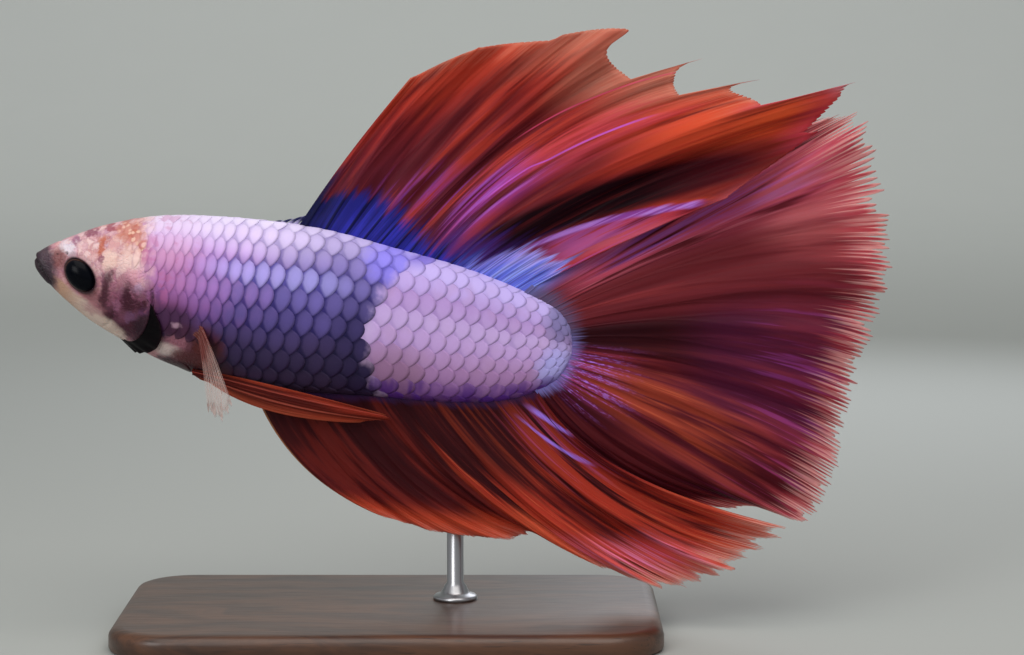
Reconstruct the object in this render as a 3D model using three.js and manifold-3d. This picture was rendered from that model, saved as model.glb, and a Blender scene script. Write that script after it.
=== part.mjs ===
// A male betta fish (Betta splendens) at life size, as a still display model: the fish hangs in its swimming
// pose, nose a little up, on one thin rod over a flat base.
// Millimetres, +Z up. The fish faces -X with its left side towards -Y. The origin is the centre of the
// base's underside. The fish's own frame has its origin at the tip of the snout, x running to the tail.

import * as THREE from "three";
import { mergeVertices } from "three/addons/utils/BufferGeometryUtils.js";
import Module from "manifold-3d";

const wasm = await Module();
wasm.setup();

// ---- Driving dimensions --------------------------------------------------------------------------------

const nosePitch = THREE.MathUtils.degToRad(9.6); // the head rides higher than the tail
const snoutHeight = 31.8; // from the floor to the tip of the snout
const snoutAhead = 30; // from the base's centre forward to the tip of the snout
const seam = 0.3; // clear gap between pieces that touch
const finThickness = 0.6;

const headEnd = 12.2; // along the fish, where the head is parted from the trunk
const trunkEnd = 33; // and the trunk from the root of the tail

// Cutting shapes run this far, which is clear of the body on every side.
const clear = { ahead: -3, behind: 50, aside: 8, under: -9, all: 40 };

const base = { length: 46, width: 28, thickness: 2, corner: 5, bevel: 0.4 };
const rod = { radius: 0.75, sides: 16, behind: 5.5, aside: 1.9 }; // behind and aside of the base's centre

// ---- Small helpers -------------------------------------------------------------------------------------

const clamp = THREE.MathUtils.clamp;

// A smooth curve through rows of numbers, at share u of the way from the first row to the last.
function through(rows, u) {
  const s = clamp(u, 0, 1) * (rows.length - 1);
  const i = Math.min(Math.floor(s), rows.length - 2);
  const f = s - i;
  const row = (k) => rows[clamp(k, 0, rows.length - 1)];
  return rows[i].map((p1, c) => {
    const p0 = row(i - 1)[c];
    const p2 = row(i + 1)[c];
    const p3 = row(i + 2)[c];
    const bend = 2 * p0 - 5 * p1 + 4 * p2 - p3 + f * (3 * p1 - p0 - 3 * p2 + p3);
    return p1 + 0.5 * f * (p2 - p0 + f * bend);
  });
}

// Closes a list of points and triangles into a geometry.
function geometryOf(points, triangles) {
  const geometry = new THREE.BufferGeometry();
  geometry.setAttribute("position", new THREE.Float32BufferAttribute(points.flat(), 3));
  geometry.setIndex(triangles.flat());
  return geometry;
}

function solidOf(geometry) {
  const bare = geometry.index ? geometry.toNonIndexed() : geometry.clone();
  bare.deleteAttribute("normal");
  bare.deleteAttribute("uv");
  const merged = mergeVertices(bare, 1e-4);
  const mesh = new wasm.Mesh({
    numProp: 3,
    vertProperties: merged.attributes.position.array,
    triVerts: new Uint32Array(merged.index.array),
  });
  return new wasm.Manifold(mesh);
}

function geometryFrom(solid) {
  const { vertProperties, triVerts } = solid.getMesh();
  const geometry = new THREE.BufferGeometry();
  geometry.setAttribute("position", new THREE.BufferAttribute(vertProperties, 3));
  geometry.setIndex(new THREE.BufferAttribute(triVerts, 1));
  const flat = geometry.toNonIndexed();
  flat.computeVertexNormals();
  return flat;
}

// A slab between two distances along the fish, wide enough to hold the whole body.
function slab(from, to) {
  const box = new THREE.BoxGeometry(to - from, clear.all, clear.all);
  return solidOf(box.translate((from + to) / 2, 0, 0));
}

// An outline in the fish's side plane, drawn out sideways from y = near to y = far.
function prism(shape, near, far) {
  const options = { depth: far - near, bevelEnabled: false, curveSegments: 7 };
  const drawn = new THREE.ExtrudeGeometry(shape, options);
  return solidOf(drawn.rotateX(Math.PI / 2).translate(0, far, 0));
}

function ellipse({ x, z, long, short, turn }, grow = 0) {
  return new THREE.Shape().absellipse(x, z, short + grow, long + grow, 0, 2 * Math.PI, false, turn);
}

// ---- Body ----------------------------------------------------------------------------------------------

// Distance from the snout, height of the back, height of the belly, and half the width.
const bodyStations = [
  [0.0, 0.1, -0.3, 0.25],
  [0.35, 0.7, -1.0, 0.85],
  [1.3, 1.45, -1.9, 1.3],
  [2.7, 2.3, -2.95, 1.8],
  [5.3, 3.7, -4.5, 2.75],
  [9.0, 5.05, -6.0, 3.75],
  [13.0, 5.9, -7.3, 4.3],
  [18.0, 6.4, -7.95, 4.5],
  [24.0, 6.6, -7.7, 4.3],
  [30.0, 6.05, -7.1, 3.7],
  [36.0, 5.4, -6.6, 2.9],
  [41.0, 4.4, -5.7, 2.15],
  [44.2, 3.4, -4.2, 1.55],
  [45.7, 2.2, -2.9, 1.05],
  [46.3, 0.6, -1.3, 0.45],
];
const bodySteps = { along: 26, around: 20 };
const widestLevel = 0.52; // of the way from belly to back, where the body is widest

// A point of the body's surface, grown outwards by a distance: angle 0 is the fish's right side, a quarter
// turn is the back.
function bodyPoint(u, angle, grow) {
  const [x, back, belly, halfWidth] = through(bodyStations, u);
  const level = belly + widestLevel * (back - belly);
  const up = Math.sin(angle);
  const side = Math.cos(angle);
  const tall = (up > 0 ? back - level : level - belly) + grow;
  const stretched = x + grow * (2 * u - 1);
  return [stretched, (halfWidth + grow) * side, level + tall * up];
}

function body(grow = 0) {
  const { along, around } = bodySteps;
  const points = [];
  for (let i = 0; i <= along; i++) {
    for (let j = 0; j < around; j++) {
      points.push(bodyPoint(i / along, (2 * Math.PI * j) / around, grow));
    }
  }
  const at = (i, j) => i * around + (j % around);
  const triangles = [];
  for (let i = 0; i < along; i++) {
    for (let j = 0; j < around; j++) {
      triangles.push([at(i, j), at(i + 1, j + 1), at(i + 1, j)]);
      triangles.push([at(i, j), at(i, j + 1), at(i + 1, j + 1)]);
    }
  }
  for (let j = 1; j < around - 1; j++) {
    triangles.push([at(0, 0), at(0, j + 1), at(0, j)]);
    triangles.push([at(along, 0), at(along, j), at(along, j + 1)]);
  }
  return solidOf(geometryOf(points, triangles));
}

const wholeBody = body();
const clearBody = body(seam);

// ---- Head: jaw, gill covers, gill membranes and eyes ------------------------------------------------------

const gill = { x: 8.5, z: -2.0, long: 3.6, short: 2.15, turn: 0.12, depth: 0.8 };
const membrane = { x: 9.1, z: -3.2, long: 3.5, short: 2.7, turn: 0.25, proud: 0.3, depth: 0.45 };
const eye = { x: 4.4, z: -0.9, across: 2.1, long: 1.8, short: 1.36, bulge: 0.95, turn: 0.82 };

// The lower jaw is what lies under the steep cleft of the mouth.
const mouthCleft = [
  [-2, 0.7],
  [0.3, -0.35],
  [1.9, -1.95],
  [5.2, -3.3],
];
const jawRoot = 5.2;

function jawOutline(drop) {
  const shape = new THREE.Shape();
  mouthCleft.forEach(([x, z], i) => shape[i ? "lineTo" : "moveTo"](x, z - drop));
  shape.lineTo(jawRoot, clear.under);
  shape.lineTo(mouthCleft[0][0], clear.under);
  return shape;
}

function eyeSolid(side, grow = 0) {
  const ball = new THREE.SphereGeometry(1, 12, 8);
  ball.scale(eye.short + grow, eye.bulge + grow, eye.long + grow);
  ball.rotateY(-eye.turn);
  return solidOf(ball.translate(eye.x, side * eye.across, eye.z));
}

// A plate of one flank, clear of the middle line: an outline filled from a depth under the body's surface to
// a height over it.
const plateRoom = 1; // height over the body of the room that a plate's neighbour leaves for it
const middleGap = 0.5;

function plate(outline, side, proud, depth) {
  const [near, far] = side < 0 ? [-clear.aside, -middleGap] : [middleGap, clear.aside];
  return prism(outline, near, far).intersect(body(proud)).subtract(body(-depth));
}

function headPieces() {
  const pieces = {};
  const front = wholeBody.intersect(slab(clear.ahead, headEnd));
  const underCleft = (drop) =>
    prism(jawOutline(drop), -clear.aside, clear.aside).intersect(slab(clear.ahead, jawRoot - drop));
  const jaw = front.intersect(underCleft(seam / 2));
  let head = front.subtract(underCleft(-seam / 2));
  for (const [side, word] of [[-1, "left"], [1, "right"]]) {
    const cover = plate(ellipse(gill), side, 0, gill.depth);
    const coverRoom = plate(ellipse(gill, seam), side, plateRoom, gill.depth + seam);
    const skirt = plate(ellipse(membrane), side, membrane.proud, membrane.depth).subtract(coverRoom);
    const skirtRoom = plate(ellipse(membrane, seam), side, plateRoom, membrane.depth + seam);
    pieces["gill_cover_" + word] = cover;
    pieces["gill_membrane_" + word] = largest(skirt.intersect(slab(0, headEnd)));
    pieces["eye_" + word] = eyeSolid(side);
    head = head.subtract(coverRoom).subtract(skirtRoom).subtract(eyeSolid(side, seam));
  }
  pieces.lower_jaw = largest(jaw.subtract(eyeSolid(-1, seam)).subtract(eyeSolid(1, seam)));
  pieces.head = largest(head);
  return pieces;
}

// Cuts can leave crumbs: this keeps the main body of a solid.
function largest(solid) {
  const bodies = solid.decompose();
  return bodies.reduce((most, b) => (b.volume() > most.volume() ? b : most));
}

// ---- Fins ----------------------------------------------------------------------------------------------

// Each fin is a sheet through its guide rays. A ray is given by its root, middle and tip, as x, y and z in
// the fish's frame; y carries the slow folds. teeth is how many points the margin has, notch how far it
// falls back between them as a share of the ray, from the first ray to the last, and lean where in a
// tooth the notch is deepest. pleats is the number of fine waves across the sheet, and rise their height.

const dorsal = {
  rays: [
    [[21.7, 0, 6.6], [24.8, 0, 13.0], [28.9, 0, 20.3]],
    [[24.1, 0, 6.4], [28.6, -0.2, 15.8], [34.2, -0.4, 23.8]],
    [[26.8, 0, 6.1], [33.6, 0.1, 17.1], [40.7, 0.3, 25.8]],
    [[29.0, 0, 5.8], [37.4, -0.2, 17.7], [46.1, -0.5, 26.9]],
    [[31.2, 0, 5.6], [40.7, 0, 18.0], [53.2, 0.1, 26.1]],
    [[33.0, 0, 5.5], [43.1, -0.4, 17.3], [58.1, -1.0, 25.1]],
    [[35.1, 0, 5.2], [47.5, -1.2, 16.4], [65.7, -2.4, 26.2]],
    [[37.3, 0, 4.9], [48.8, 0.3, 13.9], [63.8, -0.3, 21.7]],
    [[39.8, 0, 4.2], [48.6, -1.1, 10.3], [56.7, -2.4, 15.2]],
  ],
  teeth: 8,
  notch: [0.02, 0.02, 0.04, 0.13, 0.15, 0.13, 0.06, 0.05],
  lean: 0.25,
  pleats: 8,
  rise: 0.12,
  steps: [40, 6],
};

const caudal = {
  rays: [
    [[42.0, 0, 3.9], [51.8, 1.5, 13.5], [64.9, 2.6, 23.1]],
    [[43.0, 0, 3.4], [55.4, 1.1, 12.9], [68.1, 1.9, 23.2]],
    [[43.8, 0, 2.7], [57.7, 0.4, 11.0], [71.2, 0.8, 15.4]],
    [[44.6, 0, 2.0], [59.3, -0.3, 7.6], [71.8, -0.6, 9.3]],
    [[45.2, 0, 1.0], [58.7, -0.3, 3.6], [70.9, -0.3, 3.1]],
    [[45.3, 0, -0.2], [59.0, 0.5, -0.6], [70.6, 0.9, -3.0]],
    [[45.1, 0, -1.4], [58.5, -0.2, -4.1], [70.1, -0.4, -7.8]],
    [[44.8, 0, -2.4], [57.5, -0.6, -7.3], [68.5, -1.0, -11.3]],
    [[44.4, 0, -3.3], [53.5, 0.3, -8.9], [64.6, 0.9, -11.0]],
    [[43.9, 0, -3.9], [50.5, 0.7, -8.5], [59.5, 1.4, -12.6]],
  ],
  teeth: 27,
  notch: [0.06, 0.05, 0.03, 0.03],
  lean: 0.5,
  pleats: 9,
  rise: 0.15,
  steps: [81, 4],
};

const anal = {
  rays: [
    [[19.8, 0, -7.6], [25.0, 0, -13.7], [32.9, 0, -17.0]],
    [[23.3, 0, -7.4], [29.3, 0.1, -13.8], [37.3, 0.2, -17.7]],
    [[26.6, 0, -7.2], [34.3, 0, -13.8], [43.9, -0.1, -17.2]],
    [[30.0, 0, -6.8], [37.6, 0.2, -13.3], [46.6, 1.0, -16.5]],
    [[32.5, 0, -6.5], [41.3, -0.4, -13.5], [52.0, -0.8, -18.2]],
    [[35.0, 0, -6.2], [44.8, -0.6, -13.8], [57.4, -1.2, -19.0]],
    [[37.5, 0, -5.9], [48.3, -0.2, -13.6], [61.1, -0.5, -18.1]],
    [[40.0, 0, -5.4], [50.7, -0.6, -12.8], [63.4, -1.2, -16.3]],
    [[41.9, 0, -4.8], [52.3, -0.3, -11.7], [65.6, -0.7, -14.3]],
    [[43.5, 0, -4.3], [51.7, -0.8, -10.1], [67.6, -1.5, -12.1]],
  ],
  teeth: 18,
  notch: [0.02, 0.05],
  lean: 0.4,
  pleats: 9,
  rise: 0.12,
  steps: [54, 4],
};

const pelvic = {
  rays: [
    [[15.5, -1.7, -6.9], [23.0, -2.5, -7.2], [31.6, -1.9, -8.1]],
    [[15.6, -1.6, -7.3], [23.2, -2.5, -8.2], [32.1, -1.9, -8.4]],
    [[15.7, -1.3, -7.5], [21.5, -2.2, -9.3], [29.5, -1.7, -9.1]],
  ],
  teeth: 2,
  notch: [0.03, 0.03],
  lean: 0.5,
  pleats: 2,
  rise: 0.05,
  steps: [4, 8],
};

const pectoral = {
  rays: [
    [[14.9, -3.7, -2.7], [16.6, -5.6, -4.9], [19.2, -8.0, -8.9]],
    [[15.0, -3.6, -3.2], [16.5, -5.5, -6.0], [18.4, -7.2, -10.3]],
    [[15.0, -3.5, -3.8], [16.0, -4.8, -6.6], [17.0, -5.6, -10.0]],
  ],
  teeth: 4,
  notch: [0.05, 0.05],
  lean: 0.5,
  pleats: 4,
  rise: 0.06,
  steps: [8, 4],
};

// How far the margin reaches at share u across a fin, as a share of the ray's length.
function reach({ teeth, notch, lean }, u) {
  const inTooth = (u * teeth) % 1;
  const fall = inTooth < lean ? inTooth / lean : (1 - inTooth) / (1 - lean);
  const [depth] = through(notch.map((share) => [share]), u);
  return 1 - depth * fall;
}

// A point of a fin's middle surface: u runs across the rays and v from the root to the margin.
function finPoint(fin, u, v) {
  const w = v * reach(fin, u);
  const [root, middle, tip] = [0, 1, 2].map((k) => through(fin.rays.map((ray) => ray[k]), u));
  const shares = [(1 - w) * (1 - 2 * w), 4 * w * (1 - w), w * (2 * w - 1)];
  const wave = fin.rise * w * Math.sin(2 * Math.PI * fin.pleats * u);
  const [x, y, z] = [0, 1, 2].map((c) => shares[0] * root[c] + shares[1] * middle[c] + shares[2] * tip[c]);
  return new THREE.Vector3(x, y + wave, z);
}

function finSolid(fin, side = 1) {
  const [across, out] = fin.steps;
  const step = 0.004; // of the fin, either way, for its slope
  const points = [];
  const at = (sheet, i, j) => (sheet * (across + 1) + i) * (out + 1) + j;
  for (const sheet of [-1, 1]) {
    for (let i = 0; i <= across; i++) {
      for (let j = 0; j <= out; j++) {
        const [u, v] = [i / across, j / out];
        const middle = finPoint(fin, u, v);
        const acrossWay = finSlope(fin, clamp(u, step, 1 - step), v, step, 0);
        const outWay = finSlope(fin, u, clamp(v, step, 1 - step), 0, step);
        const normal = acrossWay.cross(outWay).normalize();
        const p = middle.addScaledVector(normal, (sheet * finThickness) / 2);
        points.push([p.x, p.y * side, p.z]);
      }
    }
  }
  const triangles = [];
  const quad = (a, b, c, d) => triangles.push([a, b, c], [a, c, d]);
  for (let i = 0; i < across; i++) {
    for (let j = 0; j < out; j++) {
      quad(at(1, i, j), at(1, i + 1, j), at(1, i + 1, j + 1), at(1, i, j + 1));
      quad(at(0, i, j), at(0, i, j + 1), at(0, i + 1, j + 1), at(0, i + 1, j));
    }
    quad(at(0, i, 0), at(0, i + 1, 0), at(1, i + 1, 0), at(1, i, 0));
    quad(at(0, i, out), at(1, i, out), at(1, i + 1, out), at(0, i + 1, out));
  }
  for (let j = 0; j < out; j++) {
    quad(at(0, 0, j), at(1, 0, j), at(1, 0, j + 1), at(0, 0, j + 1));
    quad(at(0, across, j), at(0, across, j + 1), at(1, across, j + 1), at(1, across, j));
  }
  const facing = side > 0 ? triangles : triangles.map(([a, b, c]) => [a, c, b]);
  return solidOf(geometryOf(points, facing));
}

// The smooth sheet's direction of travel, taken on the fin without its teeth.
function finSlope(fin, u, v, du, dv) {
  const smooth = { ...fin, notch: [0, 0] };
  return finPoint(smooth, u + du, v + dv).sub(finPoint(smooth, u - du, v - dv));
}

// A fin grows out of the body, so what lies within the flesh is cut away.
function rooted(fin, side) {
  return largest(finSolid(fin, side).subtract(clearBody));
}

// ---- Stand ---------------------------------------------------------------------------------------------

function standBase() {
  const { length, width, corner, bevel, thickness } = base;
  const [x, y, r] = [length / 2 - bevel, width / 2 - bevel, corner - bevel];
  const outline = new THREE.Shape();
  outline.moveTo(-x + r, -y);
  outline.absarc(x - r, -y + r, r, -Math.PI / 2, 0);
  outline.absarc(x - r, y - r, r, 0, Math.PI / 2);
  outline.absarc(-x + r, y - r, r, Math.PI / 2, Math.PI);
  outline.absarc(-x + r, -y + r, r, Math.PI, 1.5 * Math.PI);
  return new THREE.ExtrudeGeometry(outline, {
    depth: thickness - 2 * bevel,
    bevelThickness: bevel,
    bevelSize: bevel,
    bevelSegments: 1,
    curveSegments: 4,
  }).translate(0, 0, bevel);
}

// The rod runs from just over the base up to the belly, on the fish's right of the anal fin.
function standRod(fishMatrix) {
  const height = snoutHeight - base.thickness;
  const bar = new THREE.CylinderGeometry(rod.radius, rod.radius, height, rod.sides);
  bar.rotateX(Math.PI / 2).translate(rod.behind, rod.aside, base.thickness + height / 2);
  const flesh = geometryFrom(clearBody).applyMatrix4(fishMatrix);
  const [below] = solidOf(bar)
    .subtract(solidOf(flesh))
    .decompose()
    .sort((a, b) => a.boundingBox().min[2] - b.boundingBox().min[2]);
  return geometryFrom(below);
}

// ---- The model -----------------------------------------------------------------------------------------

const finish = (color, roughness, metalness = 0) =>
  new THREE.MeshStandardMaterial({ color, roughness, metalness });

const flesh = finish(0x9d88b8, 0.4);
const headFlesh = finish(0xb98a86, 0.45);
const darkMembrane = finish(0x1c1018, 0.5);
const eyeBlack = finish(0x06070c, 0.1);
const redFin = finish(0x8a1f22, 0.45);
const clearFin = finish(0xb98078, 0.45);
const baseWood = finish(0x3a2418, 0.5);
const rodSteel = finish(0x9e9ea1, 0.3, 1);

function named(name, solid, material) {
  const mesh = new THREE.Mesh(solid.isBufferGeometry ? solid : geometryFrom(solid), material);
  mesh.name = name;
  return mesh;
}

const fish = new THREE.Group();
fish.position.set(-snoutAhead, 0, snoutHeight);
fish.rotation.y = nosePitch;
fish.updateMatrix();

for (const [name, solid] of Object.entries(headPieces())) {
  const material = name.startsWith("eye") ? eyeBlack : name.includes("membrane") ? darkMembrane : headFlesh;
  fish.add(named(name, solid, material));
}
fish.add(named("trunk", wholeBody.intersect(slab(headEnd + seam, trunkEnd)), flesh));
fish.add(named("tail_root", wholeBody.intersect(slab(trunkEnd + seam, clear.behind)), flesh));
fish.add(named("dorsal_fin", rooted(dorsal), redFin));
fish.add(named("caudal_fin", rooted(caudal), redFin));
fish.add(named("anal_fin", rooted(anal), redFin));
for (const [side, word] of [[1, "left"], [-1, "right"]]) {
  fish.add(named("pelvic_fin_" + word, rooted(pelvic, side), redFin));
  fish.add(named("pectoral_fin_" + word, rooted(pectoral, side), clearFin));
}

const model = new THREE.Group();
model.add(fish);
model.add(named("stand_base", standBase(), baseWood));
model.add(named("stand_rod", standRod(fish.matrix), rodSteel));

export default model;
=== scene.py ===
# A male betta fish at life size on a plain display stand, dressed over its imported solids.
# Lengths in the dictionaries are millimetres in the fish's own frame: x from the tip of the snout to the
# tail, y to the fish's right, z up. The world is in metres.

import math

import bpy
import numpy as np
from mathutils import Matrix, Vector


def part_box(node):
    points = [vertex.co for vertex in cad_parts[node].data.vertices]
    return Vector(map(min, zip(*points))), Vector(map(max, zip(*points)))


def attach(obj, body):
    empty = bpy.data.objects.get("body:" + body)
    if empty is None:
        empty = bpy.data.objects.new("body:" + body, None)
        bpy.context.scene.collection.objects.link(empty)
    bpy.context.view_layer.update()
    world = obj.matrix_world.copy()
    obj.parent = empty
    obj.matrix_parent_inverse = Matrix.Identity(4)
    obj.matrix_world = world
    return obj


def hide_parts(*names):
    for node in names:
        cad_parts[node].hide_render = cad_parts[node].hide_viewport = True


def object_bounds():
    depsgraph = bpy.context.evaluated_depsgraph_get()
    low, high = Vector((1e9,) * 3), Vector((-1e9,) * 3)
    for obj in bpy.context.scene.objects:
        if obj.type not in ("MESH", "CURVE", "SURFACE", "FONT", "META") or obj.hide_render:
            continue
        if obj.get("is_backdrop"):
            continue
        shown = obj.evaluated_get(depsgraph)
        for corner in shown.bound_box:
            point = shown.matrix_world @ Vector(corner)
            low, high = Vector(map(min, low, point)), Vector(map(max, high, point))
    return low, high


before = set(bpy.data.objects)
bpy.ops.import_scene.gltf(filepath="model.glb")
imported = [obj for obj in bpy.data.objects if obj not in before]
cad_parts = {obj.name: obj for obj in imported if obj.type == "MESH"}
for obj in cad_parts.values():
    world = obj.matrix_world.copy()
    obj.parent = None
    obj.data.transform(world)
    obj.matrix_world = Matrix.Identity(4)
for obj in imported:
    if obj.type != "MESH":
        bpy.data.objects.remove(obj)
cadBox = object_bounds()
mm = 0.001


def smoothStep(low, high, value):
    share = np.clip((value - low) / (high - low), 0, 1)
    return share * share * (3 - 2 * share)


def hill(distance, width):
    return np.exp(-((distance / width) ** 2))


def colour(code):
    # a screen colour such as "a0b1c2" as the linear colour that the shader wants
    parts = [int(code[i:i + 2], 16) / 255 for i in (0, 2, 4)]
    return (*[c / 12.92 if c < 0.04045 else ((c + 0.055) / 1.055) ** 2.4 for c in parts], 1)


# Where the fish hangs, from the frame: the base's middle and top carry it.

hang = {"nosePitch": 9.6, "snoutAhead": 30.0, "snoutOverBase": 29.8}

baseLow, baseHigh = (np.array(corner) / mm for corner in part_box("stand_base"))
baseMiddle = (baseLow + baseHigh) / 2
snout = np.array([baseMiddle[0] - hang["snoutAhead"], baseMiddle[1], baseHigh[2] + hang["snoutOverBase"]])
pitch = math.radians(hang["nosePitch"])


def toWorld(points):
    x, y, z = np.moveaxis(np.asarray(points, float), -1, 0)
    turnedX = x * math.cos(pitch) + z * math.sin(pitch)
    turnedZ = z * math.cos(pitch) - x * math.sin(pitch)
    return (np.stack([turnedX, y, turnedZ], -1) + snout) * mm


# Camera

shot = {"aim": (10.4, 0.0, 25.8), "far": 250.0, "above": 6.0, "across": 87.04}


def addCamera():
    data = bpy.data.cameras.new("camera")
    data.sensor_width = 36
    data.lens = data.sensor_width * shot["far"] / shot["across"]
    data.clip_start, data.clip_end = 0.01, 10
    camera = bpy.data.objects.new("camera", data)
    bpy.context.scene.collection.objects.link(camera)
    rise = math.radians(shot["above"])
    back = Vector((0, -math.cos(rise), math.sin(rise)))
    camera.location = (Vector(shot["aim"]) + back * shot["far"]) * mm
    camera.rotation_euler = (-back).to_track_quat("-Z", "Y").to_euler()
    bpy.context.scene.camera = camera
    print("camera:", round(data.lens), "mm lens")


addCamera()


# Shader wiring: a Wire is a socket that does arithmetic, a Paint is one material's nodes.

class Wire:
    def __init__(self, paint, socket):
        self.paint = paint
        self.socket = socket

    def out(self, index):
        return Wire(self.paint, self.socket.node.outputs[index])

    def __add__(self, other):
        return self.paint.maths("ADD", self, other)

    def __sub__(self, other):
        return self.paint.maths("SUBTRACT", self, other)

    def __rsub__(self, other):
        return self.paint.maths("SUBTRACT", other, self)

    def __mul__(self, other):
        return self.paint.maths("MULTIPLY", self, other)

    def __truediv__(self, other):
        return self.paint.maths("DIVIDE", self, other)

    def __pow__(self, other):
        return self.paint.maths("POWER", self, other)

    def __abs__(self):
        return self.paint.maths("ABSOLUTE", self)

    __radd__ = __add__
    __rmul__ = __mul__


class Paint:
    def __init__(self, name):
        self.material = bpy.data.materials.new(name)
        self.material.use_nodes = True
        self.tree = self.material.node_tree
        self.tree.nodes.clear()

    def node(self, kind, settings, inputs, output=0):
        made = self.tree.nodes.new("ShaderNode" + kind)
        for key, value in settings.items():
            if key == "stops":
                self.setStops(made.color_ramp, value)
            else:
                setattr(made, key, value)
        for key, value in inputs.items():
            if isinstance(value, Wire):
                self.tree.links.new(value.socket, made.inputs[key])
            else:
                made.inputs[key].default_value = value
        return Wire(self, made.outputs[output])

    def setStops(self, ramp, stops):
        while len(ramp.elements) < len(stops):
            ramp.elements.new(0.5)
        for element, (position, code) in zip(ramp.elements, stops):
            element.position = position
            element.color = colour(code)

    def maths(self, operation, first, second=0.0):
        return self.node("Math", {"operation": operation}, {0: first, 1: second})

    def rootOf(self, value):
        return self.maths("SQRT", value)

    def upToOne(self, value):
        return self.maths("MINIMUM", value, 1.0)

    def vector(self, operation, first, second):
        return self.node("VectorMath", {"operation": operation}, {0: first, 1: second})

    def stretch(self, vector, factors):
        return self.vector("MULTIPLY", vector, factors)

    def parts(self, vector):
        split = self.node("SeparateXYZ", {}, {0: vector})
        return split, split.out(1), split.out(2)

    def joined(self, x, y, z):
        return self.node("CombineXYZ", {}, {0: x, 1: y, 2: z})

    def mark(self, name):
        return self.node("Attribute", {"attribute_name": name}, {}, output=2)

    def markVector(self, name):
        return self.node("Attribute", {"attribute_name": name}, {}, output=1)

    def noise(self, vector, scale, detail=3.0, roughness=0.5):
        inputs = {"Vector": vector, "Scale": scale, "Detail": detail, "Roughness": roughness}
        return self.node("TexNoise", {}, inputs)

    def cells(self, vector, scale, feature="F1"):
        return self.node("TexVoronoi", {"feature": feature}, {"Vector": vector, "Scale": scale})

    def ease(self, value, low, high):
        settings = {"interpolation_type": "SMOOTHSTEP"}
        return self.node("MapRange", settings, {0: value, 1: low, 2: high})

    def within(self, value, low, high, soft):
        # 1 between low and high, fading to 0 over soft on each side
        return self.ease(value, low - soft, low + soft) * self.ease(value, high + soft, high - soft)

    def near(self, value, middle, width):
        # 1 along a line, fading to 0 at this distance from it
        return self.ease(abs(value - middle), width, width * 0.25)

    def ramp(self, value, stops):
        return self.node("ValToRGB", {"stops": stops}, {0: value})

    def mix(self, share, first, second, way="MIX"):
        first, second = (colour(c) if isinstance(c, str) else c for c in (first, second))
        settings = {"data_type": "RGBA", "blend_type": way}
        return self.node("Mix", settings, {0: share, 6: first, 7: second}, output=2)

    def blot(self, x, z, spot, soft=0.45):
        # a soft spot in the side plane: its middle in x and z, and its half length and half height
        middleX, middleZ, wide, tall = spot
        away = self.rootOf(((x - middleX) / wide) ** 2 + ((z - middleZ) / tall) ** 2)
        return self.ease(away, 1 + soft, 1 - soft)

    def layered(self, shown, layers):
        # lays tints over what is shown, each on its own share of the surface
        for share, tint in layers:
            shown = self.mix(share, shown, tint)
        return shown

    def dabbed(self, shown, x, z, dabs, soft=0.45):
        # lays soft spots over what is shown: the place, strength and tint of each
        for spot, strength, tint in dabs:
            shown = self.mix(self.blot(x, z, spot, soft) * strength, shown, tint)
        return shown

    def bump(self, height, distance, strength=1.0):
        return self.node("Bump", {}, {"Height": height, "Distance": distance, "Strength": strength})

    def finish(self, inputs):
        surface = self.node("BsdfPrincipled", {}, inputs)
        made = self.tree.nodes.new("ShaderNodeOutputMaterial")
        self.tree.links.new(surface.socket, made.inputs[0])
        return self.material


# Meshes

def makePiece(name, points, faces, material, uv=None, marks=None):
    mesh = bpy.data.meshes.new(name)
    mesh.from_pydata(np.asarray(points).tolist(), [], faces)
    mesh.polygons.foreach_set("use_smooth", np.ones(len(mesh.polygons), bool))
    if uv is not None:
        layer = mesh.uv_layers.new(name="OFBake")
        layer.data.foreach_set("uv", np.asarray(uv, np.float32).ravel())
    for key, values in (marks or {}).items():
        values = np.asarray(values, np.float32)
        kind, field = ("FLOAT", "value") if values.ndim == 1 else ("FLOAT_VECTOR", "vector")
        attribute = mesh.attributes.new(key, kind, "POINT")
        attribute.data.foreach_set(field, values.ravel())
    mesh.materials.append(material)
    mesh.validate()
    piece = bpy.data.objects.new(name, mesh)
    bpy.context.scene.collection.objects.link(piece)
    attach(piece, "root")
    print(name + ":", len(faces), "faces")
    return piece


def gridFaces(rows, columns, start=0, flip=False, closed=False):
    # quads over a grid of points, rows times columns, listed row by row
    last = columns if closed else columns - 1
    i, j = np.meshgrid(np.arange(rows - 1), np.arange(last), indexing="ij")
    k = (j + 1) % columns
    quads = np.stack([i * columns + j, (i + 1) * columns + j, (i + 1) * columns + k, i * columns + k], -1)
    quads = quads.reshape(-1, 4) + start
    return quads[:, ::-1] if flip else quads


def closedSheet(rows, columns, flip=False):
    # front grid, back grid and the rim that joins them
    one = rows * columns
    front = gridFaces(rows, columns, flip=flip)
    back = gridFaces(rows, columns, one, flip=not flip)
    edge = [(0, j) for j in range(columns - 1)] + [(i, columns - 1) for i in range(rows - 1)]
    edge += [(rows - 1, j) for j in range(columns - 1, 0, -1)] + [(i, 0) for i in range(rows - 1, 0, -1)]
    ring = np.array([i * columns + j for i, j in edge])
    after = np.roll(ring, -1)
    rim = np.stack([ring, after, after + one, ring + one], -1)
    return np.concatenate([front, back, rim[:, ::-1] if flip else rim])


def cappedFaces(rows, columns, start=0):
    # rings that climb in rows, closed by a flat cap at each end
    first = list(range(start, start + columns))
    last = [(rows - 1) * columns + j for j in first]
    return gridFaces(rows, columns, start, flip=True, closed=True).tolist() + [first[::-1], last]


# Body: the same stations as the solids, from the snout to the tail root.

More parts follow.
